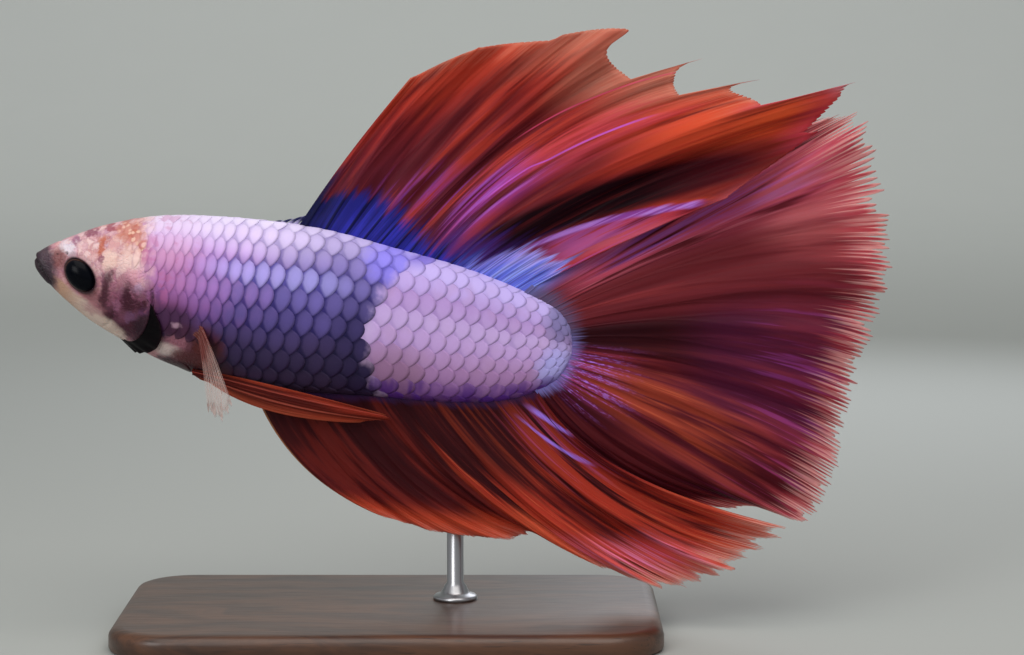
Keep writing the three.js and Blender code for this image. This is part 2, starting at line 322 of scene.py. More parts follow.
bodyStations = [  # distance from the snout, height of the back, height of the belly, half the width
    [0.0, 0.1, -0.3, 0.25],
    [0.35, 0.7, -1.0, 0.85],
    [1.3, 1.45, -1.9, 1.3],
    [2.7, 2.3, -2.95, 1.8],
    [5.3, 3.7, -4.5, 2.75],
    [9.0, 5.05, -6.0, 3.75],
    [13.0, 5.9, -7.3, 4.3],
    [18.0, 6.4, -7.95, 4.5],
    [24.0, 6.6, -7.7, 4.3],
    [30.0, 6.05, -7.1, 3.7],
    [36.0, 5.4, -6.6, 2.9],
    [41.0, 4.4, -5.7, 2.15],
    [44.2, 3.4, -4.2, 1.55],
    [45.7, 2.2, -2.9, 1.05],
    [46.3, 0.6, -1.3, 0.45],
]
bodyLength = bodyStations[-1][0]
widestLevel = 0.52  # of the way from belly to back, where the body is widest


def through(rows, u):
    # a smooth curve through rows of numbers, at share u of the way
    rows = np.asarray(rows, float)
    last = len(rows) - 1
    s = np.clip(u, 0, 1) * last
    i = np.minimum(s.astype(int), last - 1)
    f = (s - i)[..., None]
    p0, p1, p2, p3 = (rows[np.clip(i + k, 0, last)] for k in (-1, 0, 1, 2))
    bend = 2 * p0 - 5 * p1 + 4 * p2 - p3 + f * (3 * p1 - p0 - 3 * p2 + p3)
    return p1 + 0.5 * f * (p2 - p0 + f * bend)


shares = np.linspace(0, 1, 3000)
shareX = through(bodyStations, shares)[:, 0]


def section(x):
    # back, belly, widest level and half width of the body at x
    row = through(bodyStations, np.interp(x, shareX, shares))
    back, belly, half = row[..., 1], row[..., 2], row[..., 3]
    return back, belly, belly + widestLevel * (back - belly), half


def bodyPoint(x, turn):
    # turn is 0 on the back, a quarter turn on the fish's left flank and half a turn on the belly
    back, belly, level, half = section(x)
    up = np.cos(turn)
    tall = np.where(up > 0, back - level, level - belly)
    return np.stack([x + 0 * turn, -half * np.sin(turn), level + tall * up], -1)


def bodyNormal(x, turn):
    near, far = np.clip(x - 0.05, 0, bodyLength), np.clip(x + 0.05, 0, bodyLength)
    along = bodyPoint(far, turn) - bodyPoint(near, turn)
    around = bodyPoint(x, turn + 0.02) - bodyPoint(x, turn - 0.02)
    normal = np.cross(around, along)
    return normal / np.linalg.norm(normal, axis=-1, keepdims=True)


# Around the body places are shares of the girth, so that scales keep their size: 0 on the back, +0.5 and
# -0.5 on the belly, positive on the fish's left.

girthX = np.linspace(0, bodyLength, 420)
girthShares = np.linspace(0, 0.5, 241)


def girthTables():
    turns = np.linspace(0, math.pi, 721)
    points = bodyPoint(girthX[:, None] + 0 * turns, turns + 0 * girthX[:, None])
    steps = np.linalg.norm(np.diff(points[..., 1:], axis=1), axis=-1)
    along = np.concatenate([np.zeros((len(girthX), 1)), np.cumsum(steps, 1)], 1)
    turned = [np.interp(girthShares * 2 * row[-1], row, turns) for row in along]
    return 2 * along[:, -1], np.array(turned)


girths, turnTable = girthTables()


def girthAt(x):
    return np.interp(x, girthX, girths)


def turnAt(x, share):
    share = (share + 0.5) % 1 - 0.5
    i = np.clip(x / bodyLength, 0, 1) * (len(girthX) - 1)
    j = np.abs(share) * 2 * (len(girthShares) - 1)
    i0, j0 = np.minimum(i.astype(int), len(girthX) - 2), np.minimum(j.astype(int), len(girthShares) - 2)
    fi, fj = i - i0, j - j0
    low = turnTable[i0, j0] * (1 - fj) + turnTable[i0, j0 + 1] * fj
    high = turnTable[i0 + 1, j0] * (1 - fj) + turnTable[i0 + 1, j0 + 1] * fj
    return np.sign(share) * (low * (1 - fi) + high * fi)


# Head features, in the side plane unless they say otherwise

head = {
    "lipLine": [(-0.3, 0.3), (0.12, -0.12), (0.95, -1.1), (1.85, -2.05)],
    "lipCut": (0.2, 0.10),  # depth and width
    "lipSwell": (0.12, 0.34, 0.2),  # height, distance from the cut, width
    "upperLipEdge": 2.15,  # where the upper lip folds into the snout
    "nostrils": [(2.75, 0.95, 0.13, 0.2), (1.95, 0.72, 0.08, 0.12)],  # x, z, radius, depth
    "brow": (4.2, 0.95, 1.3, 0.45, 0.1),  # x, z, half length, half height, height
    "cheek": (6.9, -2.7, 1.2, 1.5, 0.12),
    "throatLine": 0.07,  # depth of the lines under the throat
    "preGill": (6.4, -2.2, 1.35, 2.6, 0.07),  # the groove before the gill cover
}
eye = {
    "x": 4.3, "z": -0.66, "aside": 2.1,
    "long": 1.6, "short": 1.12, "bulge": 0.9,
    "opening": (1.52, 1.05),  # of the socket's edge
    "rim": (0.13, 1.1, 0.085), "ditch": (0.05, 1.34, 0.1),  # height or depth, place and width round it
    "socket": 0.75,  # how deep the skin dips under the eyeball
    "lean": 0.86,
    "steps": (36, 64),  # rings from pole to pole, and points in each
}
gill = {"x": 8.5, "z": -2.0, "long": 3.6, "short": 2.15, "turn": 0.12, "raise": 0.2, "slit": 0.12}


def lineDistance(line, x, z):
    # distance from an open line in the side plane, and the share of the line that is nearest
    nearest = np.full(x.shape, 1e9)
    where = np.zeros(x.shape)
    pieces = len(line) - 1
    for k, ((x0, z0), (x1, z1)) in enumerate(zip(line, line[1:])):
        dx, dz = x1 - x0, z1 - z0
        t = np.clip(((x - x0) * dx + (z - z0) * dz) / (dx * dx + dz * dz), 0, 1)
        away = np.hypot(x - x0 - t * dx, z - z0 - t * dz)
        where = np.where(away < nearest, (k + t) / pieces, where)
        nearest = np.minimum(nearest, away)
    return nearest, where


def eyeRadius(x, z, sizes):
    dx, dz = x - eye["x"], z - eye["z"]
    s, c = math.sin(eye["lean"]), math.cos(eye["lean"])
    return np.hypot((dz * c - dx * s) / sizes[0], (dx * c + dz * s) / sizes[1])


def gillRadius(x, z):
    dx, dz = x - gill["x"], z - gill["z"]
    s, c = math.sin(gill["turn"]), math.cos(gill["turn"])
    return np.hypot((dx * c + dz * s) / gill["short"], (dz * c - dx * s) / gill["long"])


def gillEdge(x, z):
    # 1 along the free rear edge of the gill cover, 0 in front, fading out where scales run over it above
    rear = smoothStep(gill["x"] - 0.9, gill["x"] + 0.5, x + 0.25 * (z - gill["z"]) * (z < gill["z"]))
    return rear * smoothStep(0.4, -1.6, z)


def sculpt(point):
    x, y, z = point[..., 0], np.abs(point[..., 1]), point[..., 2]
    away, along = lineDistance(head["lipLine"], x, z)
    depth, width = head["lipCut"]
    fade = 1 - smoothStep(0.86, 1.0, along)
    out = -depth * hill(away, width) * fade
    swell, offset, wide = head["lipSwell"]
    out += swell * hill(away - offset, wide) * fade
    fold = np.hypot(x, z * 0.55) - head["upperLipEdge"]
    out -= 0.06 * hill(fold, 0.14) * smoothStep(-0.4, 0.2, z)
    for px, pz, radius, deep in head["nostrils"]:
        away = np.hypot(x - px, z - pz)
        out += 0.05 * hill(away - radius * 1.6, radius * 0.6) - deep * hill(away, radius)
    for feature in ("brow", "cheek"):
        px, pz, length, height, rise = head[feature]
        out += rise * hill(np.hypot((x - px) / length, (z - pz) / height), 1)
    rim = eyeRadius(x, z, eye["opening"])
    (rise, at, wide), (deep, past, broad) = eye["rim"], eye["ditch"]
    out += rise * hill(rim - at, wide) - deep * hill(rim - past, broad)
    out -= eye["socket"] * smoothStep(1.03, 0.8, rim)
    edge = gillRadius(x, z)
    behind = gillEdge(x, z)
    out += gill["raise"] * smoothStep(1.03, 0.99, edge) * smoothStep(0.35, 0.95, edge) * behind
    out -= gill["slit"] * hill(edge - 1.07, 0.035) * behind
    px, pz, length, height, deep = head["preGill"]
    out -= deep * hill(np.hypot((x - px) / length, (z - pz) / height) - 1, 0.07) * smoothStep(6.2, 7.0, x)
    under = smoothStep(-0.3, -1.6, z) * smoothStep(3.2, 4.2, x) * smoothStep(9.5, 8, x)
    for k in range(4):
        out -= head["throatLine"] * hill(y - 0.12 - 0.2 * k - 0.13 * (x - 4) * k / 2, 0.07) * under
    return out


coatInset = {"head": 0.05, "trunk": 0.16}


def skinPoint(x, share, lift=0.0):
    turn = turnAt(x, share)
    bare = bodyPoint(x, turn)
    normal = bodyNormal(x, turn)
    inset = coatInset["head"] + (coatInset["trunk"] - coatInset["head"]) * smoothStep(9, 14, x)
    return bare + normal * (sculpt(bare) - inset + lift)[..., None], bare, normal


def heightShare(point):
    # 0 on the belly, 1 on the back
    back, belly, level, half = section(point[..., 0])
    return np.clip((point[..., 2] - belly) / (back - belly), 0, 1)


# Markings, shared by the skin and the scales

markings = {
    # colours of the flank from the belly, 0, to the back, 1: rear half, front half, behind the head, saddle
    "rear": [(0.0, "40304a"), (0.14, "2e2242"), (0.3, "40325e"), (0.45, "544888"), (0.6, "6a5ea6"),
             (0.75, "766ab0"), (0.88, "8e7ec0"), (1.0, "cabcf0")],
    "front": [(0.0, "3a1f2a"), (0.2, "41202e"), (0.31, "4f2550"), (0.4, "8a549c"), (0.5, "a872be"),
              (0.6, "a676c0"), (0.74, "b482cc"), (0.88, "d0b0e8"), (1.0, "eaddf9")],
    "near": [(0.3, "3e1a34"), (0.42, "6e3962"), (0.5, "965c98"), (0.57, "b070ac"), (0.66, "b472aa"),
             (0.76, "cc90bc"), (0.88, "dab8e4"), (1.0, "ecdcf6")],
    "saddle": [(0.0, "4f2866"), (0.06, "74459a"), (0.14, "a778b4"), (0.27, "bd90c6"), (0.42, "cba6e4"),
               (0.56, "ccaee8"), (0.72, "b794d4"), (0.88, "c6b2f4"), (1.0, "c4b4f2")],
    "saddleFront": (28.7, 0.06, 1.2),  # its border's foremost x, its bow, and how far under z = 0 that is
    # spots in the side plane: middle x and z, half length and half height, then strength and tint
    # lights are painted highlights: a pale blue band along the upper flank and a paler top of the back,
    # where the scales catch the light
    "lights": [((20.5, 2.2, 5.5, 0.9), 0.55, "aca6ee"), ((18.5, 5.4, 7.0, 1.6), 0.4, "dfd2f6")],
    "throat": [
        ((15.0, -7.0, 3.4, 1.0), 0.88, "3c1a1c"), ((13.3, -5.0, 1.0, 1.3), 0.88, "9a6270"),
        ((15.7, -5.1, 1.4, 1.7), 0.88, "5c2620"), ((12.0, -5.7, 1.5, 0.6), 0.88, "d6c2be"),
        # the two dark purple spots behind the gill opening are painted shadow, and the small pale spot after
        # them a painted glint
        ((12.6, -2.9, 1.9, 1.1), 0.88, "432344"), ((13.4, -3.7, 1.3, 0.6), 0.88, "46223c"),
        ((13.0, -3.3, 0.4, 0.2), 0.88, "a88498"), ((14.2, -6.0, 1.4, 0.6), 0.88, "54282c"),
    ],
    "tail": [
        ((31.6, 5.6, 1.7, 0.8), 0.75, "6c5cd4"), ((45.0, 2.1, 1.4, 1.9), 0.8, "716c9e"),
        ((45.3, -2.1, 1.8, 1.9), 0.9, "bcb8ff"),
    ],
    "brow": [
        ((6.55, 1.1, 0.8, 0.75), 0.8, "edc8bc"), ((8.5, 1.5, 1.0, 0.9), 0.8, "f0ccc6"),
        ((8.9, 0.0, 0.8, 0.8), 0.8, "dea0b0"), ((9.4, -0.85, 0.55, 0.5), 0.8, "dcbadc"),
        ((10.0, 0.9, 0.9, 0.9), 0.8, "e0a8be"), ((10.7, -0.7, 0.9, 0.9), 0.8, "98587e"),
        ((2.75, 1.4, 0.7, 0.5), 0.8, "e4dce8"), ((3.3, 0.85, 0.45, 0.26), 0.8, "c6b0bc"),
        ((3.35, 2.1, 0.4, 0.35), 0.8, "8e5878"), ((4.5, 3.05, 0.7, 0.3), 0.8, "84405a"),
        ((6.1, 3.75, 0.6, 0.25), 0.8, "9c4a58"), ((5.67, 2.0, 0.26, 0.9), 0.8, "b85a38"),
        ((5.8, 1.05, 0.22, 0.45), 0.8, "8c4e68"), ((9.8, 2.6, 0.8, 0.8), 0.55, "c0688a"),
    ],
    "rust": [(7.9, 3.5, 1.1, 0.9), (9.2, 2.9, 0.7, 0.6)],
    "cheek": [
        ((7.7, -1.1, 1.5, 1.4), 0.55, "92506c"), ((5.4, -2.0, 0.8, 0.6), 0.6, "5c3236"),
        ((5.2, -3.0, 1.2, 0.7), 0.55, "8a585c"),
    ],
    "cheekDusk": (9.2, -3.1, 2.7, 2.4),
    "bars": [(spot, 0.85, "380c1e") for spot in (
        (6.6, -0.8, 0.42, 1.1), (6.6, -2.3, 0.5, 1.0), (7.2, -3.8, 0.6, 0.9), (8.5, -1.5, 0.4, 0.9),
        (8.9, -2.4, 0.7, 0.7), (9.0, -4.5, 1.2, 0.7), (9.8, -3.9, 1.0, 0.5), (9.9, -2.2, 0.4, 0.5))],
    "flecks": [
        ((7.8, -2.5, 0.35, 0.6), 0.4, "a06884"), ((9.2, -3.3, 0.6, 0.35), 0.4, "725078"),
        ((10.2, -2.8, 0.5, 0.4), 0.4, "7c4682"), ((10.5, -4.0, 1.1, 1.5), 0.8, "24101e"),
    ],
}


def saddleEdge(x, z):
    # how far behind the curved front border of the pale saddle
    front, bow, below = markings["saddleFront"]
    return x - ((z + below) ** 2 * bow + front)


def fishMarkings(p, place, level):
    x, y, z = p.parts(place)
    broad = p.noise(place, 0.22, 2.0)
    patchy = p.noise(place, 0.8, 3.0)
    fine = p.noise(place, 2.6, 3.0)
    stray, grain = patchy - 0.5, fine - 0.5
    shade = level + (broad - 0.5) * 0.1
    rear, front, near = (p.ramp(shade, markings[part]) for part in ("rear", "front", "near"))
    flank = p.mix(p.ease(x - (level - 0.55) * 12 + stray * 7, 22.5, 11), rear, front)
    # rose behind the head, mottled with lilac and pink
    rosy = p.ease(patchy + grain * 0.4, 0.5, 0.66) * p.ease(x, 15.5, 11) * p.ease(level, 0.35, 0.5)
    flank = p.layered(flank, [
        (p.ease(x + stray * 4, 15.8, 11.5) * p.ease(level, 0.26, 0.42) * 0.9, near),
        (rosy * 0.45, "b85c8c"),
    ])
    # painted highlights along the upper flank and the top of the back
    flank = p.dabbed(flank, x, z, markings["lights"])
    # a dark border and a blue spot, then the saddle
    edge = saddleEdge(x, z) + stray * 1.3 + grain * 0.7
    flank = p.layered(flank, [
        (p.ease(edge, -4.5, -1.0) * p.ease(level, 0.85, 0.45) * 0.6, "20183e"),
        (p.blot(x + grain * 1.5, z, (29.6, 4.9, 2.0, 1.6)) * 0.75, "857af6"),
        (p.ease(edge, -0.3, 0.3), saddleColours(p, x, z, level, patchy, grain, edge)),
    ])
    # spots on the throat and behind the gill opening, two of them painted shadow and one a painted glint
    flank = p.dabbed(flank, x + grain * 0.8, z, markings["throat"])
    border = x + z * 0.2 + stray * 3.0 + grain * 1.2
    return p.mix(p.ease(border, 9.4, 11.0), faceMarkings(p, place, level, patchy, fine), flank)


def saddleColours(p, x, z, level, patchy, grain, edge):
    pale = p.layered(p.ramp(level + grain * 0.08, markings["saddle"]), [
        (p.ease(patchy, 0.52, 0.68) * 0.2, "b48caa"),
        (p.blot(x, z, (31.4, -4.6, 2.6, 2.2)) * 0.5, "936a80"),
        (p.ease(edge, 0.8, 0.1) * p.ease(level, 0.85, 0.6) * 0.3, "e2d4f6"),
    ])
    pale = p.dabbed(pale, x, z, markings["tail"])
    ticks = p.ease(p.noise(p.joined(x * 1.7, z * 0.4, 0.0), 1.0, 2.0), 0.45, 0.58)
    return p.mix(p.ease(level, 0.19, 0.07) * ticks * 0.85, pale, "55288a")


def faceMarkings(p, place, level, patchy, fine):
    x, y, z = p.parts(place)
    stray, grain = patchy - 0.5, fine - 0.5
    warp = p.noise(place, 1.3, 3.0)
    wx, wz = x + grain * 0.9, z + (warp - 0.5) * 1.5
    # crown and brow: soft cells of cream, pink and lilac with a little rust between
    bend = p.noise(place, 1.5, 2.0).out(1)
    bent = p.vector("ADD", place, p.stretch(bend, (0.9, 0.9, 0.9)))
    pale, mauve, warm = p.parts(p.cells(bent, 1.35).out(1))
    net = p.ease(p.cells(bent, 1.35, "DISTANCE_TO_EDGE"), 0.22, 0.02)
    rust = p.ease(patchy + grain * 0.4, 0.52, 0.62) * p.ease(x, 4.2, 5.6) * p.ease(z, 0.6, 2.0)
    face = p.layered(p.mix(p.ease(z + stray * 2, -1.5, 1.5), "c68e94", "dcb0b8"), [
        (p.ease(pale, 0.3, 0.7) * p.ease(z, -2.2, -0.6) * 0.58, "eed0cd"),
        (p.ease(mauve, 0.55, 0.8) * p.ease(warp, 0.4, 0.55) * 0.5, "ac7698"),
        (p.ease(warm, 0.6, 0.85) * p.ease(z, 0.2, 1.6) * 0.4, "cc8478"),
        (net * p.ease(patchy, 0.36, 0.56) * 0.34, "984a58"),
        (rust * 0.45, "b86248"),
    ])
    face = p.dabbed(face, wx, wz, markings["brow"])
    # rust behind the brow, with cream cells left in it
    patch = p.maths("MAXIMUM", *[p.blot(wx, wz, spot) for spot in markings["rust"]])
    face = p.layered(face, [
        (patch * 0.7, "bc6448"),
        (patch * p.ease(p.cells(place, 1.9), 0.5, 0.28) * 0.8, "eec4b0"),
    ])
    return jawMarkings(p, face, (x, z, wx, wz), level, stray, fine)


def jawMarkings(p, face, where, level, stray, fine):
    x, z, wx, wz = where
    grain = fine - 0.5
    # cheek: maroon bars in mauve, darkening to the gill opening
    face = p.dabbed(face, wx, wz, markings["cheek"])
    cheek = p.blot(wx, wz, markings["cheekDusk"])
    face = p.layered(face, [
        (cheek * 0.9, "5c2a46"),
        (cheek * p.ease(fine, 0.5, 0.62) * p.ease(z, -4.2, -2.4) * 0.4, "a05c78"),
    ])
    face = p.dabbed(face, wx, wz, markings["bars"], 0.6)
    face = p.dabbed(face, wx, wz, markings["flecks"])
    # chin: a pale strip that narrows backwards under the cheek
    chin = p.mix(p.ease(x + grain, 2.4, 5.5), "bd957c", "d3bdb0")
    under = p.ease(level + x * 0.034 + stray * 0.1, 0.42, 0.33) * p.ease(x + grain, 9.2, 8.2)
    # the beak: grey-violet down the front edge to the corner of the mouth, rust behind it
    inward, down = x * 0.76 + z * 0.65, x * 0.65 - z * 0.76
    dusk = inward + down * 0.1 + down ** 2 * 0.15 + grain * 0.7
    ring = eyeShade(p, x, z)
    return p.layered(face, [
        (under * 0.95, chin),
        (p.blot(wx, wz, (5.8, -3.2, 1.0, 0.6)) * 0.55, "a06872"),
        (p.ease(dusk, 2.7, 1.7) * p.ease(down, 0.6, 1.6) * 0.6, "7a5460"),
        (p.blot(wx, z, (2.05, 0.4, 0.65, 0.85)) * 0.85, "784240"),
        (p.ease(dusk, 2.1, 1.25) * 0.95, "42343f"),
        (p.ease(inward + grain * 0.3, 0.85, 0.4) * p.ease(down, 3.2, 2.4) * 0.65, "241c24"),
        (p.ease(ring, 1.5, 1.2) * 0.45, "744248"),
        (p.ease(ring, 1.24, 1.06) * 0.9, "24161a"),
    ])


def eyeShade(p, x, z):
    # distance from the eye's middle as a share of its opening
    dx, dz = x - eye["x"], z - eye["z"]
    s, c = math.sin(eye["lean"]), math.cos(eye["lean"])
    long, short = (dz * c - dx * s) / eye["opening"][0], (dx * c + dz * s) / eye["opening"][1]
    return p.rootOf(long ** 2 + short ** 2)


def skinMaterial():
    p = Paint("skin")
    place = p.markVector("place")
    shown = fishMarkings(p, place, p.mark("level"))
    groove = p.mark("groove")
    # painted shade in the lips, the gill cover's edge, the nostrils and the eye's socket
    shown = p.mix(groove * 0.85, shown, "1c0f18")
    grain = p.noise(place, 9.0, 4.0) * 0.6 + p.ease(p.cells(place, 2.6, "DISTANCE_TO_EDGE"), 0.0, 0.25)
    shine = p.ease(p.noise(place, 3.0), 0.3, 0.7) * 0.16 + 0.36
    return p.finish({
        "Base Color": shown, "Roughness": shine, "Normal": p.bump(grain, 0.00004, 0.6),
        "Subsurface Weight": 0.1, "Subsurface Radius": (1.0, 0.45, 0.3), "Subsurface Scale": 0.0006,
        "Coat Weight": 0.05, "Coat Roughness": 0.25, "Specular IOR Level": 0.2,
    })


def scaleMaterial():
    p = Paint("scales")
    root = p.markVector("place")
    level = p.mark("level")
    tone = p.mark("tone")
    back, cover, down = p.parts(p.markVector("lobe"))
    x, y, z = p.parts(root)
    saddle = p.ease(saddleEdge(x, z), -0.3, 0.3)
    shown = fishMarkings(p, root, level)
    # each scale is a soft pale oval, narrower below, partly its own colour and partly painted highlight;
    # outside the oval and under the scales ahead of it the colour darkens, partly dark pigment and partly
    # painted shade
    contrast = (p.ease(level, 1.0, 0.7) * 0.65 + 0.3) * (p.ease(level, 0.1, 0.36) * 0.35 + 0.65)
    contrast = contrast * (1 - saddle * 0.7) * (p.ease(x, 11, 19) * 0.7 + 0.3)
    wide = 0.6 - p.ease(down, -0.1, 0.6) * 0.16
    oval = p.rootOf(((back - 0.44) / wide) ** 2 + ((down + 0.05) / 0.66) ** 2)
    # painted shade: outside each scale's pale oval, and just behind the free edges of the scales ahead
    paintedShadeShare = p.maths("MAXIMUM", p.ease(oval, 0.74, 1.16), p.ease(cover, 0.16, 0.0) * 0.7)
    paintedShadeTint = p.mix(p.ease(x, 18, 12), "8278b4", "a07cb4")
    shaded = p.mix(1.0, shown, p.mix(saddle, paintedShadeTint, "b29ccc"), "MULTIPLY")
    # painted highlight: the pale oval brightens the scale's own colour
    light = tone * 0.16 + 1.14
    lit = p.stretch(shown, p.joined(light, light, light))
    shown = p.mix(p.ease(oval, 0.95, 0.2) * contrast, shown, lit)
    shown = p.mix(paintedShadeShare * contrast, shown, shaded)
    grain = p.noise(p.markVector("spot"), 7.0, 3.0)
    return p.finish({
        "Base Color": shown, "Roughness": 0.4 + tone * 0.1, "Normal": p.bump(grain, 0.00003, 0.5),
        "Coat Weight": 0.06, "Coat Roughness": 0.25, "Specular IOR Level": 0.2,
    })


skinMesh = {
    "around": 256,
    "tip": (0.8, 16),  # rings on the tip of the snout: up to this x, and how many
    "face": (0.87, 12.6, 0.078),  # from, to and step
    "trunk": (12.8, 45.4, 0.26),
    "end": (45.5, 12),
}


def ringPlaces():
    to, count = skinMesh["tip"]
    start, rings = skinMesh["end"]
    tip = to * np.linspace(0, 1, count) ** 1.7
    face, trunk = np.arange(*skinMesh["face"]), np.arange(*skinMesh["trunk"])
    return np.concatenate([tip, face, trunk, np.linspace(start, bodyLength, rings)])


def skinPatches(x, around):
    # the body unrolled along the map, with a small disc for each end
    rows = len(x)
    i, j = np.divmod(np.arange((rows - 1) * around), around)
    corner = lambda a, b: np.stack([0.02 + 0.9 * x[i + a] / bodyLength, (j + b) / around], -1)
    uv = np.stack([corner(0, 1), corner(1, 1), corner(1, 0), corner(0, 0)], 1).reshape(-1, 2)
    turns = 2 * math.pi * np.arange(around) / around
    for middle in (0.96, 0.985):
        disc = np.stack([middle + 0.01 * np.cos(turns), 0.5 + 0.01 * np.sin(turns)], -1)
        fan = np.stack([np.tile([middle, 0.5], (around, 1)), np.roll(disc, -1, 0), disc], 1)
        uv = np.concatenate([uv, fan.reshape(-1, 2)])
    return uv


def creaseShade(bare):
    # painted shade, 1 in the folds: the lips, the gill cover's edge, the nostrils and the eye's socket
    x, z = bare[..., 0], bare[..., 2]
    away, along = lineDistance(head["lipLine"], x, z)
    groove = hill(away, 0.11) * (1 - smoothStep(0.9, 1.0, along))
    groove = np.maximum(groove, hill(gillRadius(x, z) - 1.08, 0.05) * gillEdge(x, z))
    for px, pz, radius, deep in head["nostrils"]:
        groove = np.maximum(groove, hill(np.hypot(x - px, z - pz), radius * 0.8))
    return np.maximum(groove, smoothStep(1.08, 0.98, eyeRadius(x, z, eye["opening"])))


def addSkin():
    x, around = ringPlaces(), skinMesh["around"]
    share = (np.arange(around) / around) - 0.5
    gridX, gridShare = np.meshgrid(x, share, indexing="ij")
    shape, bare, normal = skinPoint(gridX, gridShare)
    ends = np.array([shape[0].mean(0) - [0.06, 0, 0], shape[-1].mean(0) + [0.15, 0, 0]])
    points = np.concatenate([shape.reshape(-1, 3), ends])
    quads = gridFaces(len(x), around, closed=True, flip=True)
    total, last = len(x) * around, (len(x) - 1) * around
    caps = [[total, (j + 1) % around, j] for j in range(around)]
    caps += [[total + 1, last + j, last + (j + 1) % around] for j in range(around)]
    marks = {
        "place": np.concatenate([bare.reshape(-1, 3), ends]),
        "level": np.append(heightShare(bare).ravel(), [0.5, 0.5]),
        "groove": np.append(creaseShade(bare).ravel(), [0.3, 0]),
    }
    uv = skinPatches(x, around)
    piece = makePiece("skin", toWorld(points), quads.tolist() + caps, skinMaterial(), uv, marks)
    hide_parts("head", "lower_jaw", "gill_cover_left", "gill_cover_right", "trunk", "tail_root")


# Scales: rows of overlapping plates, each rooted in the skin and free at its rear edge

coat = {  # widths here are shares of the space between rows
    "rows": 20,  # round the girth
    "pitchAt": [(6, 0.46), (12, 0.47), (16, 0.57), (20.5, 0.73), (24, 0.8), (34, 0.87), (40, 0.95),
                (46, 0.92)],  # place, to the next scale
    "startAt": [(0, 5.6), (0.09, 6.0), (0.16, 7.4), (0.24, 9.4), (0.32, 10.4), (0.38, 12.2),
                (0.5, 13.2)],  # share of the girth, first scale of the row there
    "ends": 0.7,  # this far before the end of the body, in mm
    "bare": [(9.6, -4.2, 2.4, 2.3), (13.6, -5.2, 2.9, 1.9)],  # at the gill slit and at the pectoral fin
    "halfWidth": 0.8,
    "reach": 1.85,  # this one in spaces along the row
    "fullAt": 0.42,  # of the reach, where the rear edge starts to round
    "droop": 0.12,  # how far the tip of a scale sits above its own line
    "rootWidth": 0.72,  # of the full width
    "lift": 0.1,  # of the free edge over the skin on the trunk, in mm like the next five
    "dome": 0.018,
    "thickness": 0.024,
    "sunk": 0.03,  # how deep the root lies in the skin
    "edgeDip": 0.012,
    "tilt": 0.01,  # at random
    "grown": 0.03,  # how much sizes differ, as a share
    "flatter": 0.3,  # share of the relief lost on the saddle and behind it
    "flatterFrom": (20, 24),
    "steps": (8, 10),  # along and across one scale
    "patch": (0.8, 0.07),  # of the bake map: of the space to the next scale, and across
}


def scaleStart(share):
    # how far along the fish each row of scales begins: over the crown early, on the throat late
    shares, starts = zip(*coat["startAt"])
    return np.interp(abs(share), shares, starts)


def pitchAt(x):
    places, shares = zip(*coat["pitchAt"])
    return np.interp(x, places, shares) * girthAt(x) / coat["rows"]


def scaleRoots():
    # where each scale is rooted: places along the fish and shares of the girth
    roots = []
    for row in range(coat["rows"]):
        share = (row + 0.5) / coat["rows"] - 0.5
        x = 3.0
        while x < bodyLength - 0.9:
            x += float(pitchAt(x))
            shifted = x + (row % 2) * 0.5 * float(pitchAt(x))
            if scaleStart(share) < shifted < bodyLength - coat["ends"]:
                roots.append((shifted, share))
    roots = np.array(roots)
    x = roots[:, 0] + 0.9 * pitchAt(roots[:, 0])
    middle = bodyPoint(x, turnAt(x, roots[:, 1]))
    mx, mz = middle[:, 0], middle[:, 2]
    inSlit, onPad = (np.hypot((mx - px) / half, (mz - pz) / tall) < 1 for px, pz, half, tall in coat["bare"])
    inSlit &= gillRadius(mx, mz) > 0.86
    onEdge = (np.abs(gillRadius(mx, mz) - 1.0) < 0.19) & (gillEdge(mx, mz) > 0.2)
    clearOfEye = eyeRadius(mx, mz, eye["opening"]) > 1.62
    return roots[clearOfEye & ~onEdge & ~inSlit & ~onPad]


def addScales():
    rng = np.random.default_rng(7)
    roots = scaleRoots()
    roots = roots[np.argsort(roots[:, 0], kind="stable")]
    material = scaleMaterial()
    for name, group in (("scales_left", roots[roots[:, 1] > 0]), ("scales_right", roots[roots[:, 1] < 0])):
        addScaleGroup(name, group, material, rng)


def scaleEdge(down):
    # where a scale's free edge lies, this far down from its own line; it has none past its own half width
    s = down / coat["halfWidth"]
    leaned = np.abs(np.clip(s + coat["droop"] * (1 - s ** 2), -1, 1))
    bow = (1 - leaned ** np.where(s > -coat["droop"], 1.9, 2.2)) ** 0.72
    edge = coat["reach"] * (coat["fullAt"] + (1 - coat["fullAt"]) * bow)
    return np.where(np.abs(s) <= 1, edge, 0)


